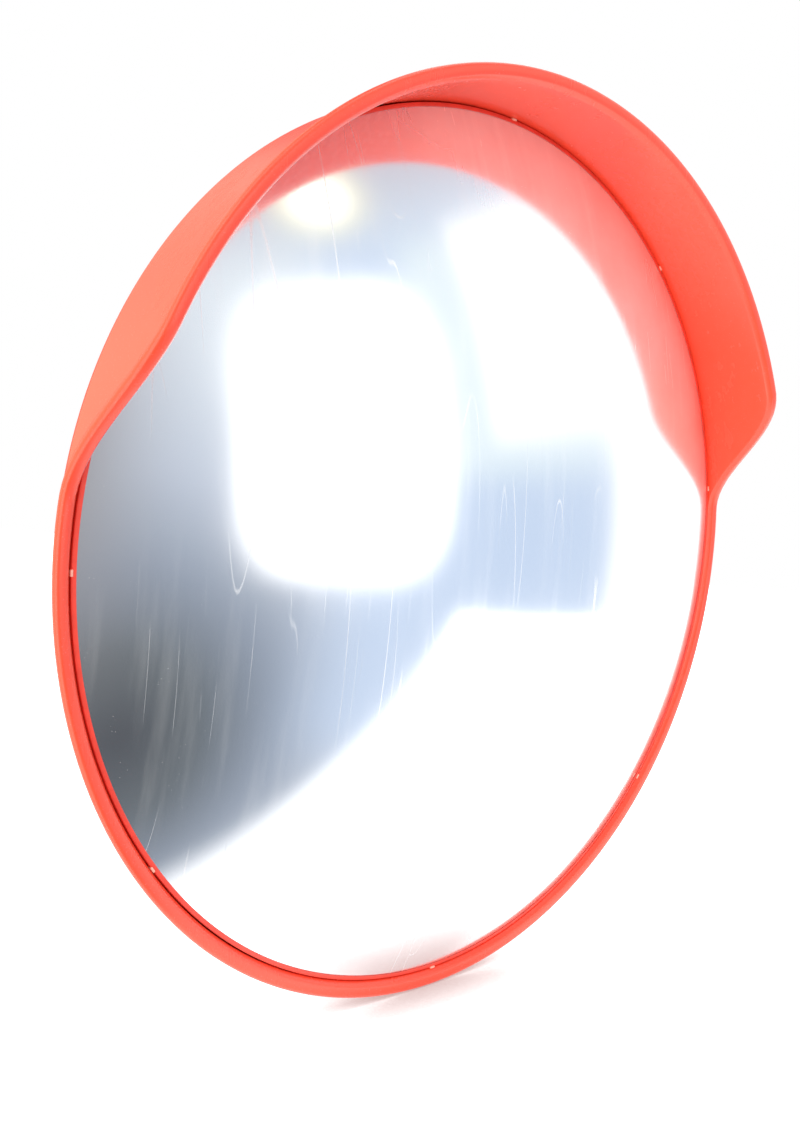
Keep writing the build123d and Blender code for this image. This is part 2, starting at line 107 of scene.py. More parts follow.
class ShellSizes(bpy.types.PropertyGroup):
    """The moulded shell with its hood, rim bead and back."""

    edge_gap: length("Edge gap", "From the mirror's edge to the shell's inner wall", 2.5 * MM)
    wall: length("Wall", "Thickness of the moulding", 3 * MM)
    flare: turn("Wall flare", "The wall opens towards the front by this angle", 4.9)
    hood_depth: length("Hood depth", "Height of the hood above the rim at its top", 58 * MM)
    hood_gain: length("Hood gain", "Depth gained towards the hood's sides", 3 * MM)
    hood_full: turn("Full hood", "From the top, the hood keeps its full depth up to here", 64.5)
    hood_end: turn("Hood end", "From the top, the hood has run out into the rim here", 83.6)
    bead_width: length("Bead width", "Radial width of the rolled rim", 9.8 * MM)
    bead_depth: length("Bead depth", "Depth of the rolled rim", 6 * MM)
    rim_lip: length("Rim lip", "The rim's face stands this far ahead of the mirror's edge", 3.5 * MM)
    rim_swell: length("Rim swell", "Added width of the rolled rim at its foot", 1.2 * MM)
    rear_depth: length("Rear depth", "The rear corner behind the mirror's edge", 19 * MM)
    back_depth: length("Back depth", "The boss's rear face behind the mirror's edge", 38 * MM)
    boss_radius: length("Boss radius", "Radius of the mounting boss", 88 * MM)
    rib_height: length("Rib height", "Height of the ribs on the back", 4 * MM)


class HardwareSizes(bpy.types.PropertyGroup):
    """Bracket, clamp and fasteners."""

    edge_round: length("Edge round", "Rounding of the steel plates' edges", 0.7 * MM)
    weld_radius: length("Weld radius", "Radius of a weld bead", 2.6 * MM)
    bolt_small: length("Small bolt", "Nominal diameter of the shell and clamp bolts", 8 * MM)
    bolt_tilt: length("Tilt bolt", "Nominal diameter of the tilt bolt", 10 * MM)
    bolt_swivel: length("Swivel bolt", "Nominal diameter of the swivel bolt", 12 * MM)


class FinishColours(bpy.types.PropertyGroup):
    """Base colours of the finishes."""

    shell: colour("Shell", "Orange-red moulded plastic", (0.95, 0.078, 0.037))
    trim: colour("Edge trim", "Vinyl edging round the mirror", (0.85, 0.055, 0.03))
    clip: colour("Clips", "Snap clips", (0.95, 0.42, 0.32))
    mirror: colour("Mirror", "Silvered acrylic", (0.955, 0.965, 0.975))
    zinc: colour("Galvanised steel", "Bracket and clamp", (0.46, 0.475, 0.49))
    bolt: colour("Bright zinc", "Bolts, nuts and washers", (0.62, 0.62, 0.58))
    nylon: colour("Nylon", "Friction discs", (0.78, 0.76, 0.70))
    foam: colour("Foam", "Ring behind the mirror's edge", (0.018, 0.018, 0.02))


class StudioSettings(bpy.types.PropertyGroup):
    """Softboxes, floor and camera."""

    softbox: bpy.props.FloatProperty(
        name="Softbox", description="Brightness of the main softbox", default=2.0, min=0.0
    )
    strip: bpy.props.FloatProperty(
        name="Side panel", description="Brightness of the large panel at the left", default=3.2, min=0.0
    )
    lens: bpy.props.FloatProperty(
        name="Lens", description="Focal length in millimetres", default=42.03, min=1.0
    )
    floor_gap: length("Floor gap", "From the rim's lowest point down to the floor", 0.4 * MM)


SETTING_GROUPS = {
    "road_mirror_reflector": ReflectorSizes,
    "road_mirror_shell": ShellSizes,
    "road_mirror_hardware": HardwareSizes,
    "road_mirror_colours": FinishColours,
    "road_mirror_studio": StudioSettings,
}


# ============================ Mesh tools ====================================================

# The mirror head's own coordinates: x to the right, y up and z forward from the plane of the
# mirror's edge. This matrix stands them in the frame.


def mirror_sagitta(reflector):
    """Height of the mirror's crown above the plane of its edge."""
    edge = mirror_high.x
    return reflector.curvature - math.sqrt(reflector.curvature**2 - edge**2)


def head_matrix(reflector):
    """Places the mirror head's own coordinates in the frame."""
    rim_y = mirror_low.y + mirror_sagitta(reflector)
    return Matrix.Translation((0, rim_y, 0)) @ Matrix.Rotation(math.radians(90), 4, "X")


def facing(point, direction):
    """Stands a piece made along +Z on a point, facing a direction."""
    return Matrix.Translation(point) @ Vector(direction).to_track_quat("Z", "Y").to_matrix().to_4x4()


def lathe(bm, outline, steps, closed=True):
    """Turns an outline of (radius, height) points once round the Z axis."""
    made = [bm.verts.new((radius, 0.0, height)) for radius, height in outline]
    pairs = list(zip(made, made[1:]))
    if closed:
        pairs.append((made[-1], made[0]))
    wires = [bm.edges.new(pair) for pair in pairs]
    bmesh.ops.spin(
        bm, geom=made + wires, cent=(0, 0, 0), axis=(0, 0, 1), angle=FULL_TURN, steps=steps, use_merge=True
    )
    bmesh.ops.remove_doubles(bm, verts=bm.verts, dist=SEAM)
    bmesh.ops.recalc_face_normals(bm, faces=bm.faces)


def rings_at(bm, places, tolerance=FIT):
    """Edges of the turned rings that lie at the given (radius, height) places."""
    found = []
    for edge in bm.edges:
        a, b = edge.verts
        if abs(a.co.z - b.co.z) > tolerance or abs(a.co.xy.length - b.co.xy.length) > tolerance:
            continue
        for radius, height in places:
            if abs(a.co.xy.length - radius) < tolerance and abs(a.co.z - height) < tolerance:
                found.append(edge)
                break
    return found


def round_edges(bm, edges, width, segments=3):
    """Rounds edges with a bevel."""
    bmesh.ops.bevel(
        bm, geom=edges, offset=width, offset_type="OFFSET", segments=segments, profile=0.5,
        affect="EDGES", clamp_overlap=True, material=-1,
    )


def mark_sharp(bm, angle=34):
    """Smooth faces, with a crease in the shading wherever two faces meet at a corner."""
    limit = math.radians(angle)
    for face in bm.faces:
        face.smooth = True
    for edge in bm.edges:
        edge.smooth = len(edge.link_faces) == 2 and edge.calc_face_angle(0.0) < limit


def finished(bm, name, body, material, stands_for=(), crease=34):
    """Turns a bmesh into a piece that rides on a body."""
    mark_sharp(bm, crease)
    mesh = bpy.data.meshes.new(name)
    bm.to_mesh(mesh)
    bm.free()
    mesh.materials.append(material)
    piece = bpy.data.objects.new(name, mesh)
    bpy.context.scene.collection.objects.link(piece)
    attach(piece, body)
    if stands_for:
        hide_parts(*stands_for)
    return piece


def copies(part, places):
    """A bmesh that holds one copy of a part at each matrix."""
    whole = bmesh.new()
    carrier = bpy.data.meshes.new("carrier")
    for place in places:
        one = part.copy()
        one.transform(place)
        one.to_mesh(carrier)
        whole.from_mesh(carrier)
        one.free()
    bpy.data.meshes.remove(carrier)
    part.free()
    return whole


def box_bar(bm, low, high):
    """A bar between two corners."""
    low, high = Vector(low), Vector(high)
    made = bmesh.ops.create_cube(bm, size=1.0)["verts"]
    bmesh.ops.scale(bm, vec=high - low, verts=made)
    bmesh.ops.translate(bm, vec=(high + low) / 2, verts=made)


# ============================ Fasteners =====================================================

HEX_STEPS = 48
THREAD_STEPS = 20
THREAD_SHARE = 0.72     # part of a bolt's shank that is threaded
BORE_GAP = 0.2 * MM     # from a bolt's shank to the bore of a washer or disc


class Metric:
    """Proportions of a metric fastener, from its nominal diameter.

    Its washer and its lock (spring) washer are given by radius and thickness.
    """

    names = ("flats", "head", "nut", "washer", "washer_t", "lock", "lock_t", "pitch")
    table = {
        8: (13.0, 5.3, 6.5, 8.0, 1.6, 6.4, 2.0, 1.25),
        10: (16.0, 6.4, 8.0, 10.0, 2.0, 7.6, 2.5, 1.5),
        12: (18.0, 7.5, 10.0, 12.0, 2.5, 9.2, 3.0, 1.75),
    }

    def __init__(self, diameter):
        self.shank = diameter / 2
        for name, value in zip(self.names, self.table[round(diameter / MM)]):
            setattr(self, name, value * MM)


def shaped_ring(bm, radius_at, height_at, steps=HEX_STEPS):
    """A closed ring of edges whose radius follows its angle and whose height follows its radius."""
    verts = bmesh.ops.create_circle(bm, cap_ends=False, segments=steps, radius=1.0)["verts"]
    for vert in verts:
        angle = math.atan2(vert.co.y, vert.co.x)
        radius = radius_at(angle)
        vert.co = Vector((radius * math.cos(angle), radius * math.sin(angle), height_at(radius)))
    chosen = set(verts)
    return [edge for edge in bm.edges if edge.verts[0] in chosen and edge.verts[1] in chosen]


def hexagon(size, base, top, bore=0.0, lower_chamfer=False, dished=False):
    """A chamfered hexagon between two heights, solid or bored."""
    bm = bmesh.new()
    half = size.flats / 2
    circle = 0.95 * half
    bore_chamfer = 0.05 * size.flats
    seat = base + 0.4 * MM
    slope = math.tan(math.radians(30))
    sixth = math.pi / 3

    def hexed(angle):
        return half / math.cos((angle % sixth) - sixth / 2)

    def flat(radius):
        return lambda angle: radius

    rings = []
    if bore:
        rings.append(shaped_ring(bm, flat(bore), lambda r: base + bore_chamfer))
        rings.append(shaped_ring(bm, flat(bore + bore_chamfer), lambda r: base))
    rings.append(shaped_ring(bm, flat(circle), lambda r: base))
    if lower_chamfer:
        rings.append(shaped_ring(bm, hexed, lambda r: base + (r - circle) * slope))
    else:
        rings.append(shaped_ring(bm, flat(circle), lambda r: seat))
        rings.append(shaped_ring(bm, hexed, lambda r: seat))
    rings.append(shaped_ring(bm, hexed, lambda r: top - (r - circle) * slope))
    rings.append(shaped_ring(bm, flat(circle), lambda r: top))
    if dished:
        rings.append(shaped_ring(bm, flat(0.82 * half), lambda r: top))
        rings.append(shaped_ring(bm, flat(0.76 * half), lambda r: top - 0.25 * MM))
    if bore:
        rings.append(shaped_ring(bm, flat(bore + bore_chamfer), lambda r: top))
        rings.append(shaped_ring(bm, flat(bore), lambda r: top - bore_chamfer))
        rings.append(rings[0])
    for inner, outer in zip(rings, rings[1:]):
        bmesh.ops.bridge_loops(bm, edges=inner + outer)
    if not bore:
        bmesh.ops.edgeloop_fill(bm, edges=rings[0])
        bmesh.ops.edgeloop_fill(bm, edges=rings[-1])
    bmesh.ops.recalc_face_normals(bm, faces=bm.faces)
    return bm


def joined(*parts):
    """One bmesh from several."""
    carrier = bpy.data.meshes.new("carrier")
    whole = bmesh.new()
    for part in parts:
        part.to_mesh(carrier)
        whole.from_mesh(carrier)
        part.free()
    bpy.data.meshes.remove(carrier)
    return whole


def threaded_shank(size, top, tip, thread_length):
    """A shank from one height down to its tip, with a helical thread at the tip's end."""
    depth = 0.58 * size.pitch
    root = size.shank - depth
    start = tip + 0.6 * size.pitch
    neck = min(top, tip + thread_length)
    core = bmesh.new()
    outline = [(0, tip), (root - 0.3 * MM, tip), (root, tip + 0.5 * MM), (root, neck)]
    if neck < top:
        outline += [(size.shank, neck + depth), (size.shank, top)]
    else:
        outline += [(root, top)]
    outline += [(0, top)]
    lathe(core, outline, 32, closed=False)

    thread = bmesh.new()
    corners = [
        thread.verts.new((root - 0.1 * MM, 0, start)),
        thread.verts.new((size.shank - 0.02 * MM, 0, start + 0.45 * size.pitch)),
        thread.verts.new((size.shank - 0.02 * MM, 0, start + 0.55 * size.pitch)),
        thread.verts.new((root - 0.1 * MM, 0, start + 0.96 * size.pitch)),
    ]
    section = thread.faces.new(corners)
    turns = int((neck - start) / size.pitch) - 1
    bmesh.ops.spin(
        thread, geom=[section], cent=(0, 0, 0), axis=(0, 0, 1), angle=FULL_TURN * turns,
        dvec=(0, 0, size.pitch / THREAD_STEPS), steps=THREAD_STEPS * turns, use_merge=False,
    )
    bmesh.ops.recalc_face_normals(thread, faces=thread.faces)
    return joined(core, thread)


def bolt(size, reach, thread_length):
    """A hexagon bolt with its head standing on z = 0 and its shank below."""
    head = hexagon(size, 0.0, size.head, dished=True)
    return joined(head, threaded_shank(size, 0.2 * MM, -reach, thread_length))


def nut(size):
    """A hexagon nut standing on z = 0."""
    return hexagon(size, 0.0, size.nut, bore=size.shank + FIT, lower_chamfer=True)


def flat_ring(inner, outer, thickness, edge=0.2 * MM, steps=64):
    """A flat washer or disc lying on z = 0, with softened edges."""
    bm = bmesh.new()
    lathe(bm, [(inner, 0), (outer, 0), (outer, thickness), (inner, thickness)], steps)
    round_edges(bm, rings_at(bm, [(outer, 0), (outer, thickness), (inner, thickness)]), edge, 2)
    return bm


def spring_washer(size):
    """A split spring washer lying on z = 0, its two ends slightly apart."""
    bm = bmesh.new()
    inner, outer = size.shank + BORE_GAP, size.lock
    rise = 0.3 * MM
    steps = 46
    corners = [(inner, 0), (outer, 0), (outer, size.lock_t - rise), (inner, size.lock_t - rise)]
    section = bm.faces.new([bm.verts.new((r, 0, z)) for r, z in corners])
    bmesh.ops.spin(
        bm, geom=[section], cent=(0, 0, 0), axis=(0, 0, 1), angle=math.radians(350),
        dvec=(0, 0, rise / steps), steps=steps, use_merge=False,
    )
    bmesh.ops.recalc_face_normals(bm, faces=bm.faces)
    return bm


def weld_bead(bm, start, end, radius):
    """A rippled weld bead along a straight joint."""
    start, end = Vector(start), Vector(end)
    run = (end - start).length
    direction = (end - start).normalized()
    place = facing(start, direction)
    ripple = 0.55 * radius
    steps = max(4, round(run / ripple))
    verts = bmesh.ops.create_circle(
        bm, cap_ends=True, segments=12, radius=0.55 * radius, matrix=place
    )["verts"]
    faces = list({face for vert in verts for face in vert.link_faces})
    for i in range(1, steps + 1):
        grown = bmesh.ops.extrude_face_region(bm, geom=faces)["geom"]
        if i > 1:
            bmesh.ops.delete(bm, geom=faces, context="FACES_KEEP_BOUNDARY")
        faces = [item for item in grown if isinstance(item, bmesh.types.BMFace)]
        verts = [item for item in grown if isinstance(item, bmesh.types.BMVert)]
        bmesh.ops.translate(bm, vec=direction * run / steps, verts=verts)
        centre = start + direction * run * i / steps
        size = radius * (0.55 if i == steps else (1.0 if i % 2 else 0.86))
        for vert in verts:
            vert.co = centre + (vert.co - centre).normalized() * size


# ============================ Materials =====================================================


class NodeTree:
    """A node tree with short ways to add nodes."""

    def __init__(self, tree):
        self.tree = tree

    def node(self, kind, links=None, **settings):
        """Adds a node, sets its properties and fills its inputs by name or number."""
        made = self.tree.nodes.new(kind)
        for key, value in settings.items():
            setattr(made, key, value)
        for key, value in (links or {}).items():
            if isinstance(value, bpy.types.NodeSocket):
                self.tree.links.new(value, made.inputs[key])
            else:
                made.inputs[key].default_value = value
        return made

    def maths(self, operation, a, b=0.0):
        """One arithmetic step."""
        return self.node("ShaderNodeMath", {0: a, 1: b}, operation=operation).outputs[0]

    def span(self, value, low, high, out_low=0.0, out_high=1.0):
        """Maps a value from one range to another, softly."""
        return self.node(
            "ShaderNodeMapRange",
            {0: value, 1: low, 2: high, 3: out_low, 4: out_high},
            interpolation_type="SMOOTHSTEP",
        ).outputs[0]


class Shader(NodeTree):
    """A material with short ways to pattern its surface."""

    def __init__(self, name):
        self.material = bpy.data.materials.new(name)
        self.material.use_nodes = True
        super().__init__(self.material.node_tree)
        self.surface = self.tree.nodes["Principled BSDF"]
        self.where = self.node("ShaderNodeTexCoord").outputs["Object"]

    def set(self, **values):
        """Sets constants on the shader's own sockets."""
        for key, value in values.items():
            self.surface.inputs[key.replace("_", " ")].default_value = value

    def drive(self, name, socket):
        """Links a socket to an input of the shader."""
        self.tree.links.new(socket, self.surface.inputs[name])

    def noise(self, scale, detail=4.0, roughness=0.55, stretch=None):
        """Noise over the piece, stretched along an axis if asked."""
        place = self.where
        if stretch:
            place = self.node("ShaderNodeMapping", {"Vector": place, "Scale": stretch}).outputs[0]
        return self.node(
            "ShaderNodeTexNoise",
            {"Vector": place, "Scale": scale, "Detail": detail, "Roughness": roughness},
        ).outputs["Fac"]

    def hairlines(self, scale, stretch, width, patch_scale):
        """Fine curved scratches that come and go over the surface."""
        level = self.maths("ABSOLUTE", self.maths("SUBTRACT", self.noise(scale, 0.0, 0.5, stretch), 0.5))
        line = self.span(level, width, 0.1 * width)
        return self.maths("MULTIPLY", line, self.span(self.noise(patch_scale, 2.0), 0.48, 0.68))

    def cells(self, scale, output="Distance", feature="F1"):
        """Cell pattern over the piece."""
        return self.node(
            "ShaderNodeTexVoronoi", {"Vector": self.where, "Scale": scale}, feature=feature
        ).outputs[output]

    def parts(self, vector):
        """The three components of a vector."""
        return self.node("ShaderNodeSeparateXYZ", {0: vector}).outputs

    def mix(self, factor, a, b):
        """Mixes two colours."""
        a, b = (tuple(c) + (1.0,) if not isinstance(c, bpy.types.NodeSocket) else c for c in (a, b))
        return self.node(
            "ShaderNodeMix", {0: factor, 6: a, 7: b}, data_type="RGBA"
        ).outputs[2]

    def bump(self, height, distance, strength=1.0, below=None):
        """Adds relief to the surface."""
        links = {"Height": height, "Distance": distance, "Strength": strength}
        if below is not None:
            links["Normal"] = below
        return self.node("ShaderNodeBump", links).outputs["Normal"]


def tinted(colour_value, factor):
    """A colour made lighter or darker."""
    return tuple(min(1.0, channel * factor) for channel in colour_value)


def moulded_plastic(name, base, gloss_low=0.20, gloss_high=0.31):
    """Glossy moulded plastic: soft mottling, faint flow lines, fine scuffs and dust."""
    s = Shader(name)
    mottle = s.span(s.noise(9.0), 0.35, 0.65)
    flow = s.span(s.noise(3.0, stretch=(1.0, 14.0, 1.0)), 0.4, 0.6)
    body = s.mix(s.maths("MULTIPLY", mottle, 0.5), tinted(base, 0.965), tinted(base, 1.035))
    body = s.mix(s.maths("MULTIPLY", flow, 0.25), body, tinted(base, 0.93))
    dust = s.span(s.noise(1300.0, detail=0.0), 0.76, 0.80)
    pale = tuple(0.5 * channel + 0.38 for channel in base)
    body = s.mix(s.maths("MULTIPLY", dust, 0.15), body, pale)
    s.drive("Base Color", body)
    scuff = s.span(s.noise(140.0, detail=6.0, stretch=(1.0, 1.0, 0.2)), 0.45, 0.75)
    s.drive("Roughness", s.span(s.maths("ADD", scuff, mottle), 0.2, 1.6, gloss_low, gloss_high))
    skin = s.bump(s.noise(1500.0, detail=2.0), 0.02 * MM, 0.15)
    s.drive("Normal", s.bump(s.noise(11.0, detail=1.0), 0.10 * MM, 0.4, below=skin))
    s.set(IOR=1.49)
    return s.material


def silvered_acrylic(name, base):
    """Mirror finish: slight haze, hair scratches, wiping marks and specks of dust."""
    s = Shader(name)
    haze = s.span(s.noise(6.0, detail=5.0), 0.35, 0.75)
    upright = s.hairlines(3.0, (7.0, 1.0, 0.25), 0.0035, 9.0)
    leaning = s.hairlines(3.4, (8.0, 1.0, 0.8), 0.0030, 13.0)
    fine = s.hairlines(9.0, (5.0, 1.0, 0.3), 0.0060, 17.0)
    hairs = s.maths("MAXIMUM", upright, s.maths("MAXIMUM", leaning, fine))
    wiped = s.span(s.noise(10.0, detail=6.0, stretch=(7.0, 1.0, 0.6)), 0.5, 0.8)
    speck = s.span(s.cells(430.0), 0.10, 0.05)
    dust = s.maths("MULTIPLY", speck, s.span(s.noise(45.0, detail=1.0), 0.56, 0.62))
    marks = s.maths("MAXIMUM", hairs, dust)
    body = s.mix(s.maths("MULTIPLY", haze, 0.3), base, tinted(base, 0.97))
    body = s.mix(s.maths("MULTIPLY", marks, 0.45), body, (0.80, 0.81, 0.84))
    s.drive("Base Color", body)
    rough = s.maths("ADD", s.span(haze, 0.0, 1.0, 0.12, 0.155), s.maths("MULTIPLY", wiped, 0.035))
    s.drive("Roughness", s.maths("ADD", rough, s.maths("MULTIPLY", marks, 0.2)))
    s.drive("Normal", s.bump(s.noise(7.0, detail=1.0), 0.05 * MM, 0.6))
    x, _, z = s.parts(s.where)
    upward = s.maths("ADD", z, s.maths("MULTIPLY", x, 0.7))
    settled = s.span(upward, 0.05, 0.34, 0.015, 0.29)
    film = s.maths("MULTIPLY", settled, s.span(s.noise(14.0, detail=5.0), 0.2, 0.8, 0.8, 1.2))
    film = s.maths("ADD", film, s.maths("MULTIPLY", wiped, 0.07))
    film = s.maths("MAXIMUM", film, s.maths("MULTIPLY", marks, 0.28))
    s.drive("Metallic", s.maths("SUBTRACT", 1.0, film))
    s.set(Coat_Weight=1.0, Coat_Roughness=0.32, Coat_IOR=1.6)
    return s.material


def soft_vinyl(name, base):
    """Flexible edging with a satin skin."""
    s = Shader(name)
    s.drive("Base Color", s.mix(s.span(s.noise(60.0), 0.35, 0.65), tinted(base, 0.92), tinted(base, 1.06)))
    s.drive("Roughness", s.span(s.noise(220.0), 0.3, 0.7, 0.38, 0.52))
    s.drive("Normal", s.bump(s.noise(1800.0), 0.015 * MM, 0.5))
    return s.material


def galvanised_steel(name, base):
    """Hot-dip galvanised plate: crystal spangle, dull patches and small runs."""
    s = Shader(name)
    crystal = s.cells(210.0, output="Color")
    grain = s.node("ShaderNodeSeparateColor", {"Color": crystal}).outputs[0]
    patch = s.span(s.noise(22.0, detail=5.0), 0.35, 0.7)
    body = s.mix(grain, tinted(base, 0.84), tinted(base, 1.16))
    body = s.mix(s.maths("MULTIPLY", patch, 0.45), body, tinted(base, 1.28))
    stain = s.span(s.noise(11.0, detail=6.0, stretch=(1.0, 1.0, 0.4)), 0.62, 0.72)
    body = s.mix(s.maths("MULTIPLY", stain, 0.35), body, (0.30, 0.29, 0.27))
    s.drive("Base Color", body)
    s.drive("Roughness", s.span(s.maths("ADD", grain, patch), 0.0, 2.0, 0.30, 0.55))
    edges = s.cells(210.0, feature="DISTANCE_TO_EDGE")
    relief = s.bump(s.span(edges, 0.0, 0.08), 0.03 * MM, 0.4)
    s.drive("Normal", s.bump(s.noise(70.0, detail=3.0), 0.12 * MM, 0.6, below=relief))
    s.set(Metallic=0.9)
    return s.material


def bright_zinc(name, base):
    """Zinc plate on fasteners: faint straw and blue tints, turned marks and handling wear."""
    s = Shader(name)
    tint = s.span(s.noise(90.0, detail=3.0), 0.35, 0.65)
    body = s.mix(tint, (base[0], base[1] * 0.97, base[2] * 0.84), (base[0] * 0.93, base[1], base[2] * 1.08))
    wear = s.span(s.noise(260.0, detail=5.0), 0.56, 0.7)
    body = s.mix(s.maths("MULTIPLY", wear, 0.4), body, tinted(base, 0.72))
    s.drive("Base Color", body)
    s.drive("Roughness", s.span(s.noise(400.0, detail=2.0), 0.3, 0.7, 0.22, 0.42))
    s.drive("Normal", s.bump(s.noise(900.0, detail=3.0), 0.02 * MM, 0.5))
    s.set(Metallic=1.0)
    return s.material


def cast_nylon(name, base):
    """Natural nylon discs with a waxy, slightly uneven face."""
    s = Shader(name)
    s.drive("Base Color", s.mix(s.span(s.noise(160.0), 0.3, 0.7), tinted(base, 0.95), tinted(base, 1.04)))
    s.drive("Roughness", s.span(s.noise(300.0), 0.3, 0.7, 0.42, 0.55))
    s.drive("Normal", s.bump(s.noise(800.0), 0.02 * MM, 0.5))
    s.set(Subsurface_Weight=0.15, Subsurface_Scale=1 * MM)
    return s.material


def closed_foam(name, base):
    """Closed-cell foam with fine pores."""
    s = Shader(name)
    pores = s.cells(1400.0)
    s.drive("Base Color", s.mix(s.span(pores, 0.1, 0.6), tinted(base, 0.6), tinted(base, 1.8)))
    s.drive("Roughness", s.span(pores, 0.0, 0.7, 0.95, 0.8))
    s.drive("Normal", s.bump(pores, 0.15 * MM, 0.8))
    return s.material


finishes = {}


def finish_for(slot):
    """The material of a record slot, made when first asked for."""
    if slot not in finishes:
        c = bpy.context.scene.road_mirror_colours
        makers = {
            "shell_plastic": lambda: moulded_plastic("shell_plastic", tuple(c.shell)),
            "mirror_face": lambda: silvered_acrylic("silvered_acrylic", tuple(c.mirror)),
            "trim_plastic": lambda: soft_vinyl("trim_vinyl", tuple(c.trim)),
            "clip_plastic": lambda: soft_vinyl("clip_nylon", tuple(c.clip)),
            "foam_seal": lambda: closed_foam("seal_foam", tuple(c.foam)),
            "zinc_steel": lambda: galvanised_steel("zinc_sheet", tinted(c.zinc, 1.15)),
            "coated_steel": lambda: galvanised_steel("galvanised_steel", tuple(c.zinc)),
            "fastener_steel": lambda: bright_zinc("bright_zinc", tuple(c.bolt)),
            "nylon": lambda: cast_nylon("friction_nylon", tuple(c.nylon)),
        }
        finishes[slot] = makers[slot]()
    return finishes[slot]


# ============================ Operators =====================================================

SHELL_STEPS = 360
WALL_RINGS = 7
REAR_CORNER = 7 * MM
BOSS_STEP = 2.5 * MM
BOSS_SLOPE = 8 * MM
BOSS_THICKNESS = 4 * MM
RIM_FLAT = 9 * MM
RING_RIB_RADIUS = 190 * MM
RIB_HALF = 1.5 * MM
SEAT_RIB = (291 * MM, 294 * MM)
SEAT_RIB_TOP = 6.5 * MM
DRAIN_CIRCLE = 284 * MM
DRAIN_RADIUS = 3 * MM
DRAIN_ANGLES = (-12, 0, 12)
RIB_COUNT = 12
RIB_RUN_OUT = 6 * MM
RIB_END_GAP = 14 * MM
BEAD_SHOULDER = (2.2 * MM, 0.55 * MM)   # out from the wall and below the rim's crown
BEAD_FALL = 0.15 * MM                   # the rim's outer edge lies this far below its crown
SWELL_START = 0.4                       # part of the rim's width that keeps its place at the foot
SQUEEZE_BASE = -12 * MM                 # the wall keeps its height below this level


class ShellShape:
    """Heights and radii of the shell, in the mirror head's own coordinates."""

    def __init__(self, scene):
        self.sizes = scene.road_mirror_shell
        s = self.sizes
        self.inner = mirror_high.x + s.edge_gap
        self.lean = math.tan(s.flare)
        self.full = s.hood_depth + s.hood_gain
        self.dish_start = s.boss_radius + BOSS_SLOPE
        self.dish_end = self.wall_at(-s.rear_depth, s.wall) - RIM_FLAT
        self.dish_rise = (s.back_depth - BOSS_STEP - s.rear_depth) / (self.dish_end - self.dish_start)

    def wall_at(self, height, side=0.0):
        """Radius of the flared wall at a height, side 0 for its inner face."""
        return self.inner + side + height * self.lean

    def back_at(self, radius):
        """Height of the dished back's outer face at a radius."""
        return BOSS_STEP - self.sizes.back_depth + (radius - self.dish_start) * self.dish_rise

    def hood_at(self, angle):
        """Height of the hood above the rim at an angle from the top."""
        s = self.sizes
        angle = abs(angle)
        full = s.hood_depth + s.hood_gain * (1 - math.cos(angle))
        if angle <= s.hood_full:
            return full
        if angle >= s.hood_end:
            return 0.0
        share = (angle - s.hood_full) / (s.hood_end - s.hood_full)
        return full * (0.5 + 0.5 * math.cos(math.pi * share))

    def lip_slope(self, angle):
        """Rise of the lip along its run at an angle from the top."""
        step = math.radians(0.5)
        rise = self.hood_at(angle + step) - self.hood_at(angle - step)
        return rise / (2 * step * self.inner)


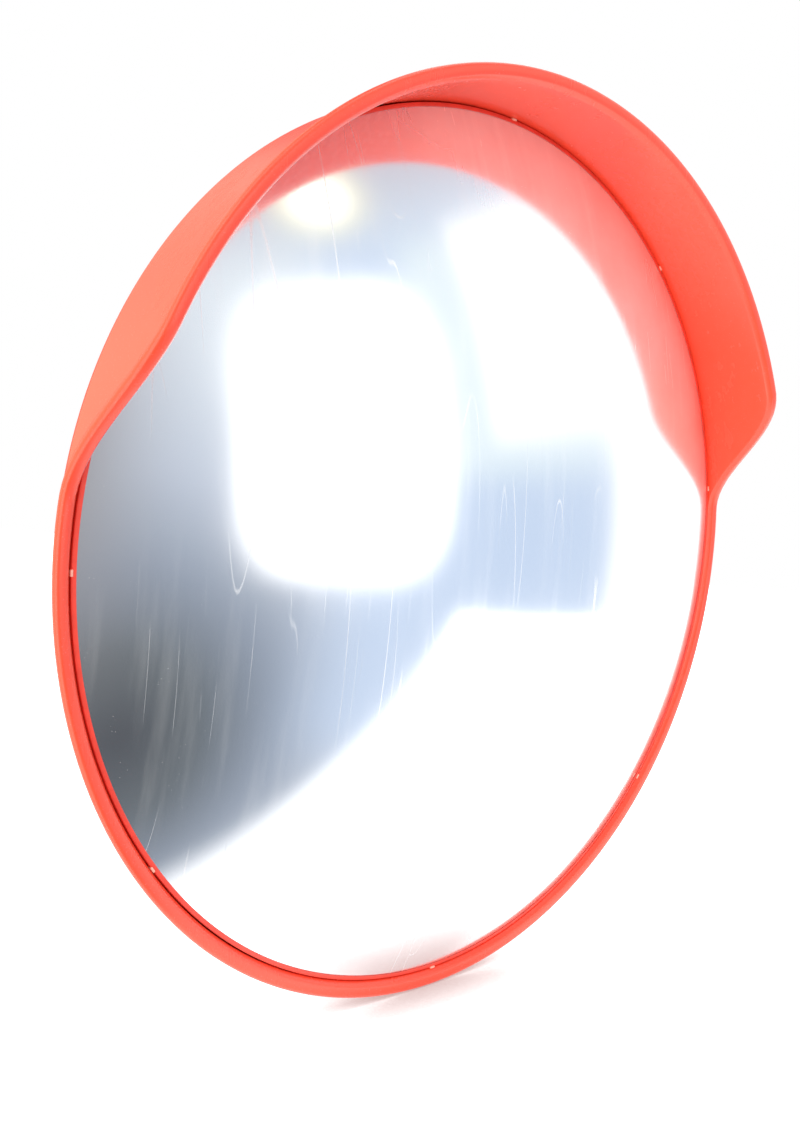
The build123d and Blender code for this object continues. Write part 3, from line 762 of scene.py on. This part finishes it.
class ROADMIRROR_OT_shell(bpy.types.Operator):
    """Build the moulded shell with its hood, rolled rim, drains and rear ribs"""

    bl_idname = "road_mirror.shell"
    bl_label = "Build Shell"

    def execute(self, context):
        shape = ShellShape(context.scene)
        s = shape.sizes
        place = head_matrix(context.scene.road_mirror_reflector)
        plastic = finish_for("shell_plastic")

        bm = bmesh.new()
        crest = shape.full
        under = crest + s.rim_lip - s.bead_depth
        face = crest + s.rim_lip
        bead_at = shape.wall_at(face)
        inner_floor = s.wall - s.rear_depth
        drain_band = [DRAIN_CIRCLE - DRAIN_RADIUS, DRAIN_CIRCLE, DRAIN_CIRCLE + DRAIN_RADIUS]
        inner_end = shape.wall_at(inner_floor) - RIM_FLAT
        inner_start = shape.dish_start - MM
        inner_rise = (s.back_depth - BOSS_STEP - s.rear_depth) / (inner_end - inner_start)

        def inner_back(radius):
            return BOSS_STEP + s.wall - s.back_depth + (radius - inner_start) * inner_rise

        floor_z = BOSS_THICKNESS - s.back_depth
        outline = [(0, floor_z), (s.boss_radius - MM, floor_z), (inner_start, inner_back(inner_start))]
        outline += [(r, inner_back(r)) for r in drain_band]
        outline += [(inner_end, inner_floor), (SEAT_RIB[0], inner_floor), (SEAT_RIB[0], -SEAT_RIB_TOP)]
        outline += [(SEAT_RIB[1], -SEAT_RIB_TOP), (SEAT_RIB[1], inner_floor)]
        inner_corner = (shape.wall_at(inner_floor), inner_floor)
        outline.append(inner_corner)
        slope_foot = (shape.wall_at(crest - 0.3 * MM), crest - 0.3 * MM)
        for i in range(WALL_RINGS):
            height = SQUEEZE_BASE + (slope_foot[1] - SQUEEZE_BASE) * i / WALL_RINGS
            outline.append((shape.wall_at(height), height))
        slope_top = (bead_at + BEAD_SHOULDER[0], face - BEAD_SHOULDER[1])
        crown = (bead_at + 2 * BEAD_SHOULDER[0], face)
        face_edge = (bead_at + s.bead_width, face - BEAD_FALL)
        under_edge = (bead_at + s.bead_width, under)
        nook = (shape.wall_at(under, s.wall), under)
        outline += [slope_foot, slope_top, crown, face_edge, under_edge, nook]
        for i in range(WALL_RINGS):
            height = under + (SQUEEZE_BASE - under) * (i + 1) / WALL_RINGS
            outline.append((shape.wall_at(height, s.wall), height))
        rear_corner = (shape.wall_at(-s.rear_depth, s.wall), -s.rear_depth)
        outline += [rear_corner, (shape.dish_end, -s.rear_depth)]
        outline += [(r, shape.back_at(r)) for r in reversed(drain_band)]
        rib_out, rib_in = RING_RIB_RADIUS + RIB_HALF, RING_RIB_RADIUS - RIB_HALF
        rib_top = shape.back_at(RING_RIB_RADIUS) - s.rib_height
        outline += [(rib_out, shape.back_at(rib_out)), (rib_out, rib_top), (rib_in, rib_top)]
        outline += [(rib_in, shape.back_at(rib_in))]
        outline.append((shape.dish_start, shape.back_at(shape.dish_start)))
        boss_edge = (s.boss_radius, -s.back_depth)
        outline += [boss_edge, (0, -s.back_depth)]
        lathe(bm, outline, SHELL_STEPS, closed=False)
        self.cut_drains(bm, shape, inner_back)

        round_edges(bm, rings_at(bm, [face_edge]), 2.9 * MM, 6)
        round_edges(bm, rings_at(bm, [under_edge]), 2.4 * MM, 5)
        round_edges(bm, rings_at(bm, [nook]), 0.9 * MM, 3)
        round_edges(bm, rings_at(bm, [slope_foot, slope_top]), 0.5 * MM, 2)
        round_edges(bm, rings_at(bm, [rear_corner]), REAR_CORNER, 8)
        round_edges(bm, rings_at(bm, [inner_corner]), REAR_CORNER - s.wall, 4)
        round_edges(bm, rings_at(bm, [boss_edge]), 1.6 * MM, 3)
        round_edges(bm, rings_at(bm, [(rib_out, rib_top), (rib_in, rib_top)]), 0.6 * MM, 2)
        self.trim_hood(bm, shape, under)
        bm.transform(place)
        bmesh.ops.recalc_face_normals(bm, faces=bm.faces)
        finished(bm, "shell", head_body, plastic, ["back_shell"])
        self.rear_ribs(shape, place, plastic)
        return {"FINISHED"}

    def cut_drains(self, bm, shape, inner_back):
        """Opens the drain holes through the dished back, at the bottom."""
        for degrees in DRAIN_ANGLES:
            angle = math.radians(degrees)
            across = Vector((DRAIN_CIRCLE * math.sin(angle), -DRAIN_CIRCLE * math.cos(angle)))
            loops = []
            for height in (inner_back(DRAIN_CIRCLE), shape.back_at(DRAIN_CIRCLE)):
                middle = Vector((across.x, across.y, height))
                centre = min(bm.verts, key=lambda v: (v.co - middle).length_squared)
                centre_at = centre.co.copy()
                around = {v for f in centre.link_faces for v in f.verts if v is not centre}
                rim = [e for f in centre.link_faces for e in f.edges if centre not in e.verts]
                for vert in around:
                    vert.co = centre_at + (vert.co - centre_at).normalized() * DRAIN_RADIUS
                bmesh.ops.delete(bm, geom=[centre], context="VERTS")
                loops += rim
            bmesh.ops.bridge_loops(bm, edges=loops)

    def trim_hood(self, bm, shape, under):
        """Lowers the wall and the rolled rim to the hood's outline, thickest where it climbs."""
        reach = under - SQUEEZE_BASE
        for vert in bm.verts:
            height = vert.co.z
            radius = vert.co.xy.length
            if height <= SQUEEZE_BASE or radius < SEAT_RIB[1] + MM:
                continue
            angle = math.atan2(abs(vert.co.x), vert.co.y)
            drop = (shape.full - shape.hood_at(angle)) * min(1.0, (height - SQUEEZE_BASE) / reach)
            if height > under:
                stretch = math.sqrt(1 + shape.lip_slope(angle) ** 2)
                drop -= (height - shape.full) * (stretch - 1)
            new_radius = radius - drop * shape.lean
            share = (radius - shape.wall_at(height)) / shape.sizes.bead_width
            if height > under - MM and share > SWELL_START:
                foot = max(0.0, -math.cos(angle)) ** 2
                new_radius += shape.sizes.rim_swell * foot * (share - SWELL_START) / (1 - SWELL_START)
            vert.co.x *= new_radius / radius
            vert.co.y *= new_radius / radius
            vert.co.z = height - drop

    def rear_ribs(self, shape, place, plastic):
        """Radial ribs on the dished back."""
        s = shape.sizes
        start = s.boss_radius + RIB_RUN_OUT
        end = shape.wall_at(-s.rear_depth, s.wall) - RIB_END_GAP
        sunk = s.wall / 2
        bm = bmesh.new()
        corners = [
            (start, shape.back_at(start) + sunk),
            (end, shape.back_at(end) + sunk),
            (end - RIB_RUN_OUT, shape.back_at(end - RIB_RUN_OUT) - s.rib_height),
            (start, shape.back_at(start) - s.rib_height),
        ]
        side = bm.faces.new([bm.verts.new((r, -RIB_HALF, z)) for r, z in corners])
        grown = bmesh.ops.extrude_face_region(bm, geom=[side], use_keep_orig=True)["geom"]
        moved = [item for item in grown if isinstance(item, bmesh.types.BMVert)]
        bmesh.ops.translate(bm, vec=(0, 2 * RIB_HALF, 0), verts=moved)
        round_edges(bm, bm.edges[:], 0.6 * MM, 2)
        bmesh.ops.recalc_face_normals(bm, faces=bm.faces)
        turns = [
            place @ Matrix.Rotation(FULL_TURN * (i + 0.5) / RIB_COUNT, 4, "Z") for i in range(RIB_COUNT)
        ]
        finished(copies(bm, turns), "shell_ribs", head_body, plastic)


MIRROR_RINGS = 96
CLIP_ANGLES = (4, 42, 80, 129, 179, 232.5, 269, 317)
CLIP_FOOT, CLIP_TOP = -2.6 * MM, 1.25 * MM
CLIP_LAP = 0.8 * MM     # how far a clip's top leans over the trim
CLIP_TAPER = 0.7        # a clip's foot against its top, across its width


class ROADMIRROR_OT_reflector(bpy.types.Operator):
    """Build the convex mirror, the trim on its edge, the clips and the foam ring"""

    bl_idname = "road_mirror.reflector"
    bl_label = "Build Mirror"

    def execute(self, context):
        sizes = context.scene.road_mirror_reflector
        place = head_matrix(sizes)
        self.mirror(sizes, place)
        self.trim(sizes, place)
        self.clips(context.scene, sizes, place)
        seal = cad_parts["edge_seal"]
        seal.data.materials.clear()
        seal.data.materials.append(finish_for("foam_seal"))
        return {"FINISHED"}

    def dome(self, sizes, radius, depth=0.0):
        """Height of the mirror's face, or of a face a depth behind it, at a radius."""
        centre = mirror_sagitta(sizes) - sizes.curvature
        return centre + math.sqrt((sizes.curvature - depth) ** 2 - radius**2)

    def mirror(self, sizes, place):
        """Spherical cap, its arc swung about the sphere's centre and then turned."""
        edge = mirror_high.x
        bm = bmesh.new()
        centre = (0, 0, mirror_sagitta(sizes) - sizes.curvature)
        rims = []
        for depth in (0.0, sizes.thickness):
            first = bm.verts.new((0, 0, self.dome(sizes, 0, depth)))
            swing = math.asin(edge / (sizes.curvature - depth))
            before = set(bm.verts)
            bmesh.ops.spin(
                bm, geom=[first], cent=centre, axis=(0, 1, 0), angle=swing, steps=MIRROR_RINGS,
            )
            rims.append(max(set(bm.verts) - before, key=lambda v: abs(v.co.x)))
        bm.edges.new(rims)
        bmesh.ops.spin(
            bm, geom=bm.verts[:] + bm.edges[:], cent=(0, 0, 0), axis=(0, 0, 1), angle=FULL_TURN,
            steps=SHELL_STEPS, use_merge=True,
        )
        bmesh.ops.remove_doubles(bm, verts=bm.verts, dist=SEAM)
        bmesh.ops.recalc_face_normals(bm, faces=bm.faces)
        bm.transform(place)
        finished(bm, "mirror_face", head_body, finish_for("mirror_face"), ["mirror_dome"])

    def trim(self, sizes, place):
        """U-shaped edging pushed over the mirror's edge."""
        edge = mirror_high.x
        gap = FIT
        front = edge - sizes.trim_front
        rear = edge - sizes.trim_rear
        outer = edge + sizes.trim_wall
        front_z = self.dome(sizes, front) + gap
        rear_z = self.dome(sizes, rear, sizes.thickness) - gap
        under_z = self.dome(sizes, edge, sizes.thickness) - gap
        lap = 0.4 * sizes.trim_wall
        shoulder = (outer, gap + 0.25 * sizes.trim_wall)
        tip = (front, front_z + lap)
        crown = (outer - 0.5 * sizes.trim_wall, gap + lap)
        bm = bmesh.new()
        lathe(bm, [
            (front, front_z), tip, crown, shoulder,
            (outer, under_z - sizes.trim_wall), (rear, rear_z - sizes.trim_wall), (rear, rear_z),
            (edge + gap, under_z), (edge + gap, gap),
        ], SHELL_STEPS)
        round_edges(bm, rings_at(bm, [tip, crown, shoulder]), 0.15 * MM, 2)
        bmesh.ops.recalc_face_normals(bm, faces=bm.faces)
        bm.transform(place)
        finished(bm, "edge_trim_ring", head_body, finish_for("trim_plastic"), ["edge_trim"])

    def clips(self, scene, sizes, place):
        """Small wedges pressed into the gap round the mirror."""
        outer = mirror_high.x + sizes.trim_wall
        wall = mirror_high.x + scene.road_mirror_shell.edge_gap
        bm = bmesh.new()
        half = sizes.clip_width / 2
        box_bar(bm, (-half, outer + 2 * FIT, CLIP_FOOT), (half, wall - 2 * FIT, CLIP_TOP))
        for vert in bm.verts:
            if vert.co.z > 0 and vert.co.y < (outer + wall) / 2:
                vert.co.y -= CLIP_LAP
            if vert.co.z < 0:
                vert.co.x *= CLIP_TAPER
        round_edges(bm, bm.edges[:], 0.28 * MM, 3)
        turns = [place @ Matrix.Rotation(-math.radians(angle), 4, "Z") for angle in CLIP_ANGLES]
        finished(copies(bm, turns), "snap_clips", head_body, finish_for("clip_plastic"),
                 ["mirror_clips"])


DISC_THICKNESS = 1.5 * MM
EAR_ROOT = 23 * MM      # half height of an ear's foot
WEB_AHEAD = 17 * MM     # from the swivel washers' front to the web's front face
DISC_STACK = 1.7 * MM   # a friction disc with its running clearance
YOKE_PLATE = 6 * MM
WELD_END = 4 * MM       # a weld stops this far short of the plate's end


def cad_plate(node, name, body, edge):
    """A merged copy of a steel node with its edges rounded, which stands for it."""
    bm = bmesh.new()
    bm.from_mesh(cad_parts[node].data)
    bmesh.ops.remove_doubles(bm, verts=bm.verts, dist=1e-6)
    bmesh.ops.dissolve_limit(
        bm, angle_limit=math.radians(0.6), verts=bm.verts, edges=bm.edges, use_dissolve_boundaries=False
    )
    piece = finished(bm, name, body, finish_for("coated_steel"), [node])
    bevel = piece.modifiers.new("edge_round", "BEVEL")
    bevel.width = edge
    bevel.segments = 2
    bevel.limit_method = "ANGLE"
    bevel.angle_limit = math.radians(38)
    bevel.harden_normals = True


class ROADMIRROR_OT_bracket(bpy.types.Operator):
    """Build the tilt bracket, the swivel yoke, the post clamp and their welds"""

    bl_idname = "road_mirror.bracket"
    bl_label = "Build Bracket"

    def execute(self, context):
        sizes = context.scene.road_mirror_hardware
        edge = sizes.edge_round
        for node, name, body in (
            ("backing_plate", "inner_plate", head_body),
            ("tilt_bracket", "tilt_bracket_plate", head_body),
            ("swivel_yoke", "swivel_yoke_plate", swivel_body),
            ("clamp_front", "clamp_front_half", clamp_body),
            ("clamp_rear", "clamp_rear_half", clamp_body),
        ):
            cad_plate(node, name, body, edge)
        self.welds(sizes)
        return {"FINISHED"}

    def welds(self, sizes):
        """Weld beads at the feet of the ears, the tongue, the fork and the clamp's lug."""
        steel = finish_for("coated_steel")
        radius = sizes.weld_radius
        ear_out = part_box("tilt_washers")[1].x - Metric(sizes.bolt_tilt).washer_t
        base_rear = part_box("plate_washers")[0].y
        bm = bmesh.new()
        for side in (-1, 1):
            x = side * ear_out
            weld_bead(bm, (x, base_rear, -EAR_ROOT), (x, base_rear, EAR_ROOT), radius)
        finished(bm, "ear_welds", head_body, steel)

        yoke_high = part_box("swivel_yoke")[1]
        web_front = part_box("swivel_washers")[0].y - WEB_AHEAD
        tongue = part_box("tilt_friction_discs")[1].x - DISC_STACK
        bm = bmesh.new()
        reach = yoke_high.z - WELD_END
        for side in (-1, 1):
            weld_bead(bm, (side * tongue, web_front, -reach), (side * tongue, web_front, reach), radius)
        fork_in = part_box("swivel_friction_discs")[1].z
        web_rear = web_front + YOKE_PLATE
        half = yoke_high.x - WELD_END / 2
        for side in (-1, 1):
            weld_bead(bm, (-half, web_rear, side * fork_in), (half, web_rear, side * fork_in), 0.8 * radius)
        finished(bm, "yoke_welds", swivel_body, steel)

        bm = bmesh.new()
        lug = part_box("swivel_friction_discs")[1].x + MM
        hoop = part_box("clamp_rear")[1].y
        lug_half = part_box("swivel_friction_discs")[1].z - DISC_STACK
        meet = -math.sqrt(hoop**2 - lug**2)
        for side in (-1, 1):
            weld_bead(bm, (side * lug, meet, -lug_half), (side * lug, meet, lug_half), radius)
            weld_bead(bm, (-lug, -hoop, side * lug_half), (lug, -hoop, side * lug_half), 0.7 * radius)
        finished(bm, "lug_welds", clamp_body, steel)


class ROADMIRROR_OT_fasteners(bpy.types.Operator):
    """Build every bolt, nut, washer and friction disc"""

    bl_idname = "road_mirror.fasteners"
    bl_label = "Build Fasteners"

    def execute(self, context):
        sizes = context.scene.road_mirror_hardware
        small = Metric(sizes.bolt_small)
        self.group("plate", head_body, small, (0, 1, 0), 25 * MM)
        self.group("clamp", clamp_body, small, (0, 1, 0), 35 * MM, both_sides=True)
        self.group("tilt", head_body, Metric(sizes.bolt_tilt), (1, 0, 0), 45 * MM, both_sides=True)
        large = Metric(sizes.bolt_swivel)
        self.group("swivel", swivel_body, large, (0, 0, -1), 65 * MM, both_sides=True)
        self.discs("tilt_friction_discs", head_body, (1, 0, 0), sizes.bolt_tilt / 2)
        self.discs("swivel_friction_discs", swivel_body, (0, 0, 1), sizes.bolt_swivel / 2)
        return {"FINISHED"}

    def centres(self, group, size, axis):
        """Axis points of a group's bolts, from the box that its washers fill."""
        low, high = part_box(f"{group}_washers")
        along = [abs(c) > 0.5 for c in axis]
        spots = [Vector((0, 0, 0))]
        for i in range(3):
            if along[i]:
                continue
            middle = (low[i] + high[i]) / 2
            half = (high[i] - low[i]) / 2 - size.washer
            offsets = (-half, half) if half > MM else (0.0,)
            spots = [spot + Vector([middle + o if k == i else 0.0 for k in range(3)])
                     for spot in spots for o in offsets]
        return spots

    def group(self, name, body, size, axis, reach, both_sides=False):
        """Bolts, washers, spring washers and nuts of one joint; axis runs from head to nut."""
        steel = finish_for("fastener_steel")
        axis = Vector(axis)
        spots = self.centres(name, size, axis)
        plural = "" if len(spots) == 1 else "s"
        bolt_node = f"{name}_bolt{plural}"
        nut_node = f"{name}_nut{plural}"
        lock_node = f"{name}_lock_washer{plural}"

        def span(node):
            return sorted(corner.dot(axis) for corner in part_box(node))

        bolt_ends = span(bolt_node)
        head_seat = bolt_ends[0] + size.head
        nut_seat = span(nut_node)[0]
        lock_seat = span(lock_node)[0]
        washer_ends = span(f"{name}_washers")
        made = copies(bolt(size, reach, THREAD_SHARE * reach),
                      [facing(spot + axis * head_seat, -axis) for spot in spots])
        finished(made, f"{name}_hex_bolts", body, steel, [bolt_node], crease=28)
        made = copies(nut(size), [facing(spot + axis * nut_seat, axis) for spot in spots])
        finished(made, f"{name}_hex_nuts", body, steel, [nut_node], crease=28)
        made = copies(spring_washer(size), [facing(spot + axis * lock_seat, axis) for spot in spots])
        finished(made, f"{name}_spring_washers", body, steel, [lock_node])
        seats = [washer_ends[1] - size.washer_t]
        if both_sides:
            seats.append(washer_ends[0])
        ring = flat_ring(size.shank + BORE_GAP, size.washer, size.washer_t)
        made = copies(ring, [facing(spot + axis * seat, axis) for spot in spots for seat in seats])
        finished(made, f"{name}_flat_washers", body, steel, [f"{name}_washers"])

    def discs(self, node, body, axis, shank):
        """A pair of nylon friction discs."""
        axis = Vector(axis)
        low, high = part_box(node)
        middle = (low + high) / 2
        middle -= axis * middle.dot(axis)
        across = 0 if abs(axis.x) < 0.5 else 1
        radius = high[across] - middle[across]
        ring = flat_ring(shank + BORE_GAP, radius, DISC_THICKNESS, edge=0.3 * MM, steps=96)
        seats = [low.dot(axis), high.dot(axis) - DISC_THICKNESS]
        made = copies(ring, [facing(middle + axis * seat, axis) for seat in seats])
        finished(made, node.replace("friction", "nylon"), body, finish_for("nylon"), [node])


# ---- Studio --------------------------------------------------------------------------------


class Sky(NodeTree):
    """World shader built from soft panels placed by direction.

    Directions are in degrees: azimuth 0 is straight ahead of the mirror and grows to its right as
    seen by a viewer who faces it, elevation is above the horizon.
    """

    def __init__(self, world):
        world.use_nodes = True
        super().__init__(world.node_tree)
        self.tree.nodes.clear()
        seen = self.node("ShaderNodeTexCoord").outputs["Generated"]
        part = self.node("ShaderNodeSeparateXYZ", {0: seen})
        back = self.maths("MULTIPLY", part.outputs[1], -1.0)
        self.azimuth = self.maths("DEGREES", self.maths("ARCTAN2", part.outputs[0], back))
        self.elevation = self.maths("DEGREES", self.maths("ARCSINE", part.outputs[2]))
        self.colour = None

    def step(self, value, edge, soft):
        """Rises from 0 to 1 across an edge."""
        return self.span(value, edge - soft, edge + soft)

    def band(self, value, low, high, soft):
        """1 between two edges, 0 outside them."""
        return self.maths("SUBTRACT", self.step(value, low, soft), self.step(value, high, soft))

    def paint(self, mask, shade, strength=1.0):
        """Lays a panel of one colour over the sky so far."""
        shade = tuple(c * strength for c in shade) + (1.0,)
        below = self.colour if self.colour is not None else (0.0, 0.0, 0.0, 1.0)
        self.colour = self.node(
            "ShaderNodeMix", {0: mask, 6: below, 7: shade}, data_type="RGBA", clamp_factor=True
        ).outputs[2]

    def panel(self, azimuth, elevation, soft, shade, strength=1.0):
        """A soft-edged rectangular panel between two azimuths and two elevations."""
        across = self.band(self.azimuth, *azimuth, soft[0])
        upright = self.band(self.elevation, *elevation, soft[1])
        self.paint(self.maths("MULTIPLY", across, upright), shade, strength)

    def rounded(self, azimuth, elevation, half_width, half_height, soft):
        """A panel with well-rounded corners, as its middle and half sizes."""
        across = self.maths("DIVIDE", self.maths("SUBTRACT", self.azimuth, azimuth), half_width)
        upright = self.maths("DIVIDE", self.maths("SUBTRACT", self.elevation, elevation), half_height)
        fourth = [self.maths("POWER", self.maths("ABSOLUTE", v), 4.0) for v in (across, upright)]
        reach = self.maths("POWER", self.maths("ADD", *fourth), 0.25)
        return self.maths("SUBTRACT", 1.0, self.step(reach, 1.0, soft))

    def distance(self, azimuth, elevation, squash=1.0):
        """Distance in degrees from a direction, squashed across the azimuth."""
        a = self.maths("MULTIPLY", self.maths("SUBTRACT", self.azimuth, azimuth), squash)
        e = self.maths("SUBTRACT", self.elevation, elevation)
        square = self.maths("ADD", self.maths("MULTIPLY", a, a), self.maths("MULTIPLY", e, e))
        return self.maths("SQRT", square)


SHADOW_REACH = 0.09     # how far the painted contact shadow spreads on the floor
EDGE_FADE = 0.07        # width over which the floor's front edge fades out


class ROADMIRROR_OT_stage(bpy.types.Operator):
    """Set up the floor, the studio light and the camera"""

    bl_idname = "road_mirror.stage"
    bl_label = "Set Up Studio"

    def execute(self, context):
        scene = context.scene
        self.sky(scene)
        self.floor(scene)
        self.camera(scene)
        scene.view_settings.view_transform = "Standard"
        return {"FINISHED"}

    def sky(self, scene):
        """Softboxes and the dim room round them; the camera itself sees plain white."""
        studio = scene.road_mirror_studio
        world = bpy.data.worlds.new("studio_sky")
        scene.world = world
        sky = Sky(world)
        white = (1.0, 1.0, 1.0)

        # Dim room ahead of the mirror, darkest low and to the left.
        ramp = sky.node("ShaderNodeValToRGB", {0: sky.maths("DIVIDE", sky.distance(-12, -30), 60.0)})
        stops = ramp.color_ramp
        stops.elements[0].color = (0.055, 0.060, 0.075, 1)
        stops.elements[1].color = (0.80, 0.87, 0.93, 1)
        for place, shade in (
            (0.20, (0.13, 0.152, 0.172)),
            (0.38, (0.29, 0.34, 0.43)),
            (0.60, (0.55, 0.61, 0.72)),
        ):
            stops.elements.new(place).color = shade + (1,)
        sky.colour = ramp.outputs[0]

        # Warm grey wall at the left, brighter overhead.
        left = sky.step(sky.maths("MULTIPLY", sky.azimuth, -1.0), 16, 12)
        low = sky.step(sky.maths("MULTIPLY", sky.elevation, -1.0), 14, 22)
        sky.paint(sky.maths("MULTIPLY", left, sky.maths("SUBTRACT", 1.0, low)), (0.30, 0.27, 0.26))
        sky.paint(sky.step(sky.elevation, 36, 7), (0.60, 0.63, 0.72))
        sky.paint(sky.step(sky.elevation, 62, 8), white, 1.6)

        # Pale blue zone at the right, white wall beyond and above it.
        sky.panel((16, 200), (-30, 36), (9, 6), (0.58, 0.70, 0.90))
        sky.panel((31, 200), (5, 33), (3, 3), (0.82, 0.93, 0.98))
        sky.panel((42, 200), (9, 34), (1.6, 2.5), white, 1.3)
        sky.panel((68, 130), (-40, 60), (4, 6), white, 1.3)

        # Dim room behind the mirror, warm panels high behind and at the left, a softbox at the right.
        behind = sky.maths("ABSOLUTE", sky.azimuth)
        sky.paint(sky.step(behind, 128, 14), (0.20, 0.21, 0.23))
        high = sky.band(sky.elevation, 14, 70, 10)
        sky.paint(sky.maths("MULTIPLY", sky.step(behind, 156, 10), high), (1.0, 0.93, 0.80))
        sky.panel((-172, -94), (-45, 66), (7, 8), (1.0, 0.92, 0.74), 1.7)
        sky.panel((112, 140), (18, 58), (5, 5), white, 2.0)

        # Main softbox, the small lamp above it and the large panel at the left.
        sky.paint(sky.rounded(17.6, 10.4, 16.2, 18.2, 0.13), white, studio.softbox)
        lamp = sky.distance(20.5, 40.0, 0.5)
        sky.paint(sky.maths("SUBTRACT", 1.0, sky.step(lamp, 4.3, 2.2)), (1.0, 0.94, 0.66), 1.05)
        sky.paint(sky.maths("SUBTRACT", 1.0, sky.step(lamp, 2.6, 1.6)), (1.0, 0.98, 0.88), 2.0)
        sky.panel((-94, -44), (-70, 72), (8, 8), (1.0, 0.94, 0.83), studio.strip)

        lit = sky.node("ShaderNodeBackground", {0: sky.colour, 1: 1.0}).outputs[0]
        plain = sky.node("ShaderNodeBackground", {0: (1, 1, 1, 1), 1: 1.0}).outputs[0]
        seen = sky.node("ShaderNodeLightPath").outputs["Is Camera Ray"]
        mixed = sky.node("ShaderNodeMixShader", {0: seen, 1: lit, 2: plain}).outputs[0]
        sky.node("ShaderNodeOutputWorld", {0: mixed})

    def floor(self, scene):
        """White paper sweep under the rim that glows evenly white, with a painted contact shadow from
        ambient occlusion near the rim, fading out at its front edge.
        """
        gap = scene.road_mirror_studio.floor_gap + scene.road_mirror_shell.rim_swell
        height = shell_low.z - gap
        bm = bmesh.new()
        bmesh.ops.create_grid(bm, x_segments=1, y_segments=1, size=1.0)
        bmesh.ops.scale(bm, vec=(1.7, 1.6, 1.0), verts=bm.verts)
        bmesh.ops.translate(bm, vec=(-0.2, 1.6, 0.0), verts=bm.verts)
        front_edge = Matrix.Translation((-0.234, -0.323, height)) @ Matrix.Rotation(
            math.radians(-47.3), 4, "Z"
        )
        mesh = bpy.data.meshes.new("paper_sweep")
        bm.to_mesh(mesh)
        bm.free()
        sweep = bpy.data.objects.new("paper_sweep", mesh)
        sweep.matrix_world = front_edge
        scene.collection.objects.link(sweep)

        paper = bpy.data.materials.new("white_paper")
        paper.use_nodes = True
        tree = NodeTree(paper.node_tree)
        tree.tree.nodes.clear()
        # Painted contact shadow: ambient occlusion darkens the floor's glow to a pinkish grey wherever the
        # rim is close by.
        painted_shadow_ao = tree.node("ShaderNodeAmbientOcclusion", {"Distance": SHADOW_REACH}, samples=8)
        shade = tree.span(painted_shadow_ao.outputs["AO"], 0.25, 0.95)
        painted_shadow_tone = tree.node(
            "ShaderNodeMix", {0: shade, 6: (0.62, 0.40, 0.38, 1), 7: (1.9, 1.9, 1.9, 1)}, data_type="RGBA"
        ).outputs[2]
        glow = tree.node("ShaderNodeEmission", {"Color": painted_shadow_tone}).outputs[0]
        place = tree.node("ShaderNodeTexCoord").outputs["Object"]
        ahead = tree.node("ShaderNodeSeparateXYZ", {0: place}).outputs[1]
        clear = tree.node("ShaderNodeBsdfTransparent").outputs[0]
        mixed = tree.node("ShaderNodeMixShader", {0: tree.span(ahead, 0.0, EDGE_FADE), 1: clear, 2: glow})
        tree.node("ShaderNodeOutputMaterial", {"Surface": mixed.outputs[0]})
        mesh.materials.append(paper)

    def camera(self, scene):
        """Camera at the mirror's left, slightly above its middle."""
        lens = bpy.data.cameras.new("studio_camera")
        lens.sensor_width = 36.0
        lens.lens = scene.road_mirror_studio.lens
        lens.clip_start = 0.01
        camera = bpy.data.objects.new("studio_camera", lens)
        right = Vector((0.72880146, -0.68090632, 0.07221505))
        up = Vector((0.02100977, 0.12765356, 0.99159627))
        behind = Vector((-0.68440268, -0.72115958, 0.10733979))
        turned = Matrix((right, up, behind)).transposed().to_4x4()
        camera.matrix_world = Matrix.Translation((-0.66059913, -0.82789968, 0.08809224)) @ turned
        scene.collection.objects.link(camera)
        scene.camera = camera


# ============================ Sidebar, registration and run =================================

STEPS = (
    ROADMIRROR_OT_stage,
    ROADMIRROR_OT_shell,
    ROADMIRROR_OT_reflector,
    ROADMIRROR_OT_bracket,
    ROADMIRROR_OT_fasteners,
)


class ROADMIRROR_PT_sidebar(bpy.types.Panel):
    """Sidebar panel with the settings and one button per step"""

    bl_idname = "ROADMIRROR_PT_sidebar"
    bl_label = "Road Mirror"
    bl_space_type = "VIEW_3D"
    bl_region_type = "UI"
    bl_category = "Road Mirror"

    def draw(self, context):
        for name in SETTING_GROUPS:
            group = getattr(context.scene, name)
            box = self.layout.box()
            for setting in group.bl_rna.properties.keys():
                if setting not in {"rna_type", "name"}:
                    box.prop(group, setting)
        for step in STEPS:
            self.layout.operator(step.bl_idname)


CLASSES = (*SETTING_GROUPS.values(), *STEPS, ROADMIRROR_PT_sidebar)


def register():
    """Adds the settings, operators and panel."""
    for cls in CLASSES:
        bpy.utils.register_class(cls)
    for name, group in SETTING_GROUPS.items():
        setattr(bpy.types.Scene, name, bpy.props.PointerProperty(type=group))


def unregister():
    """Removes what register added."""
    for name in SETTING_GROUPS:
        delattr(bpy.types.Scene, name)
    for cls in reversed(CLASSES):
        bpy.utils.unregister_class(cls)


def main():
    """Builds everything."""
    register()
    bpy.ops.road_mirror.stage()
    bpy.ops.road_mirror.shell()
    bpy.ops.road_mirror.reflector()
    bpy.ops.road_mirror.bracket()
    bpy.ops.road_mirror.fasteners()
    bpy.context.view_layer.update()


if __name__ == "__main__":
    main()
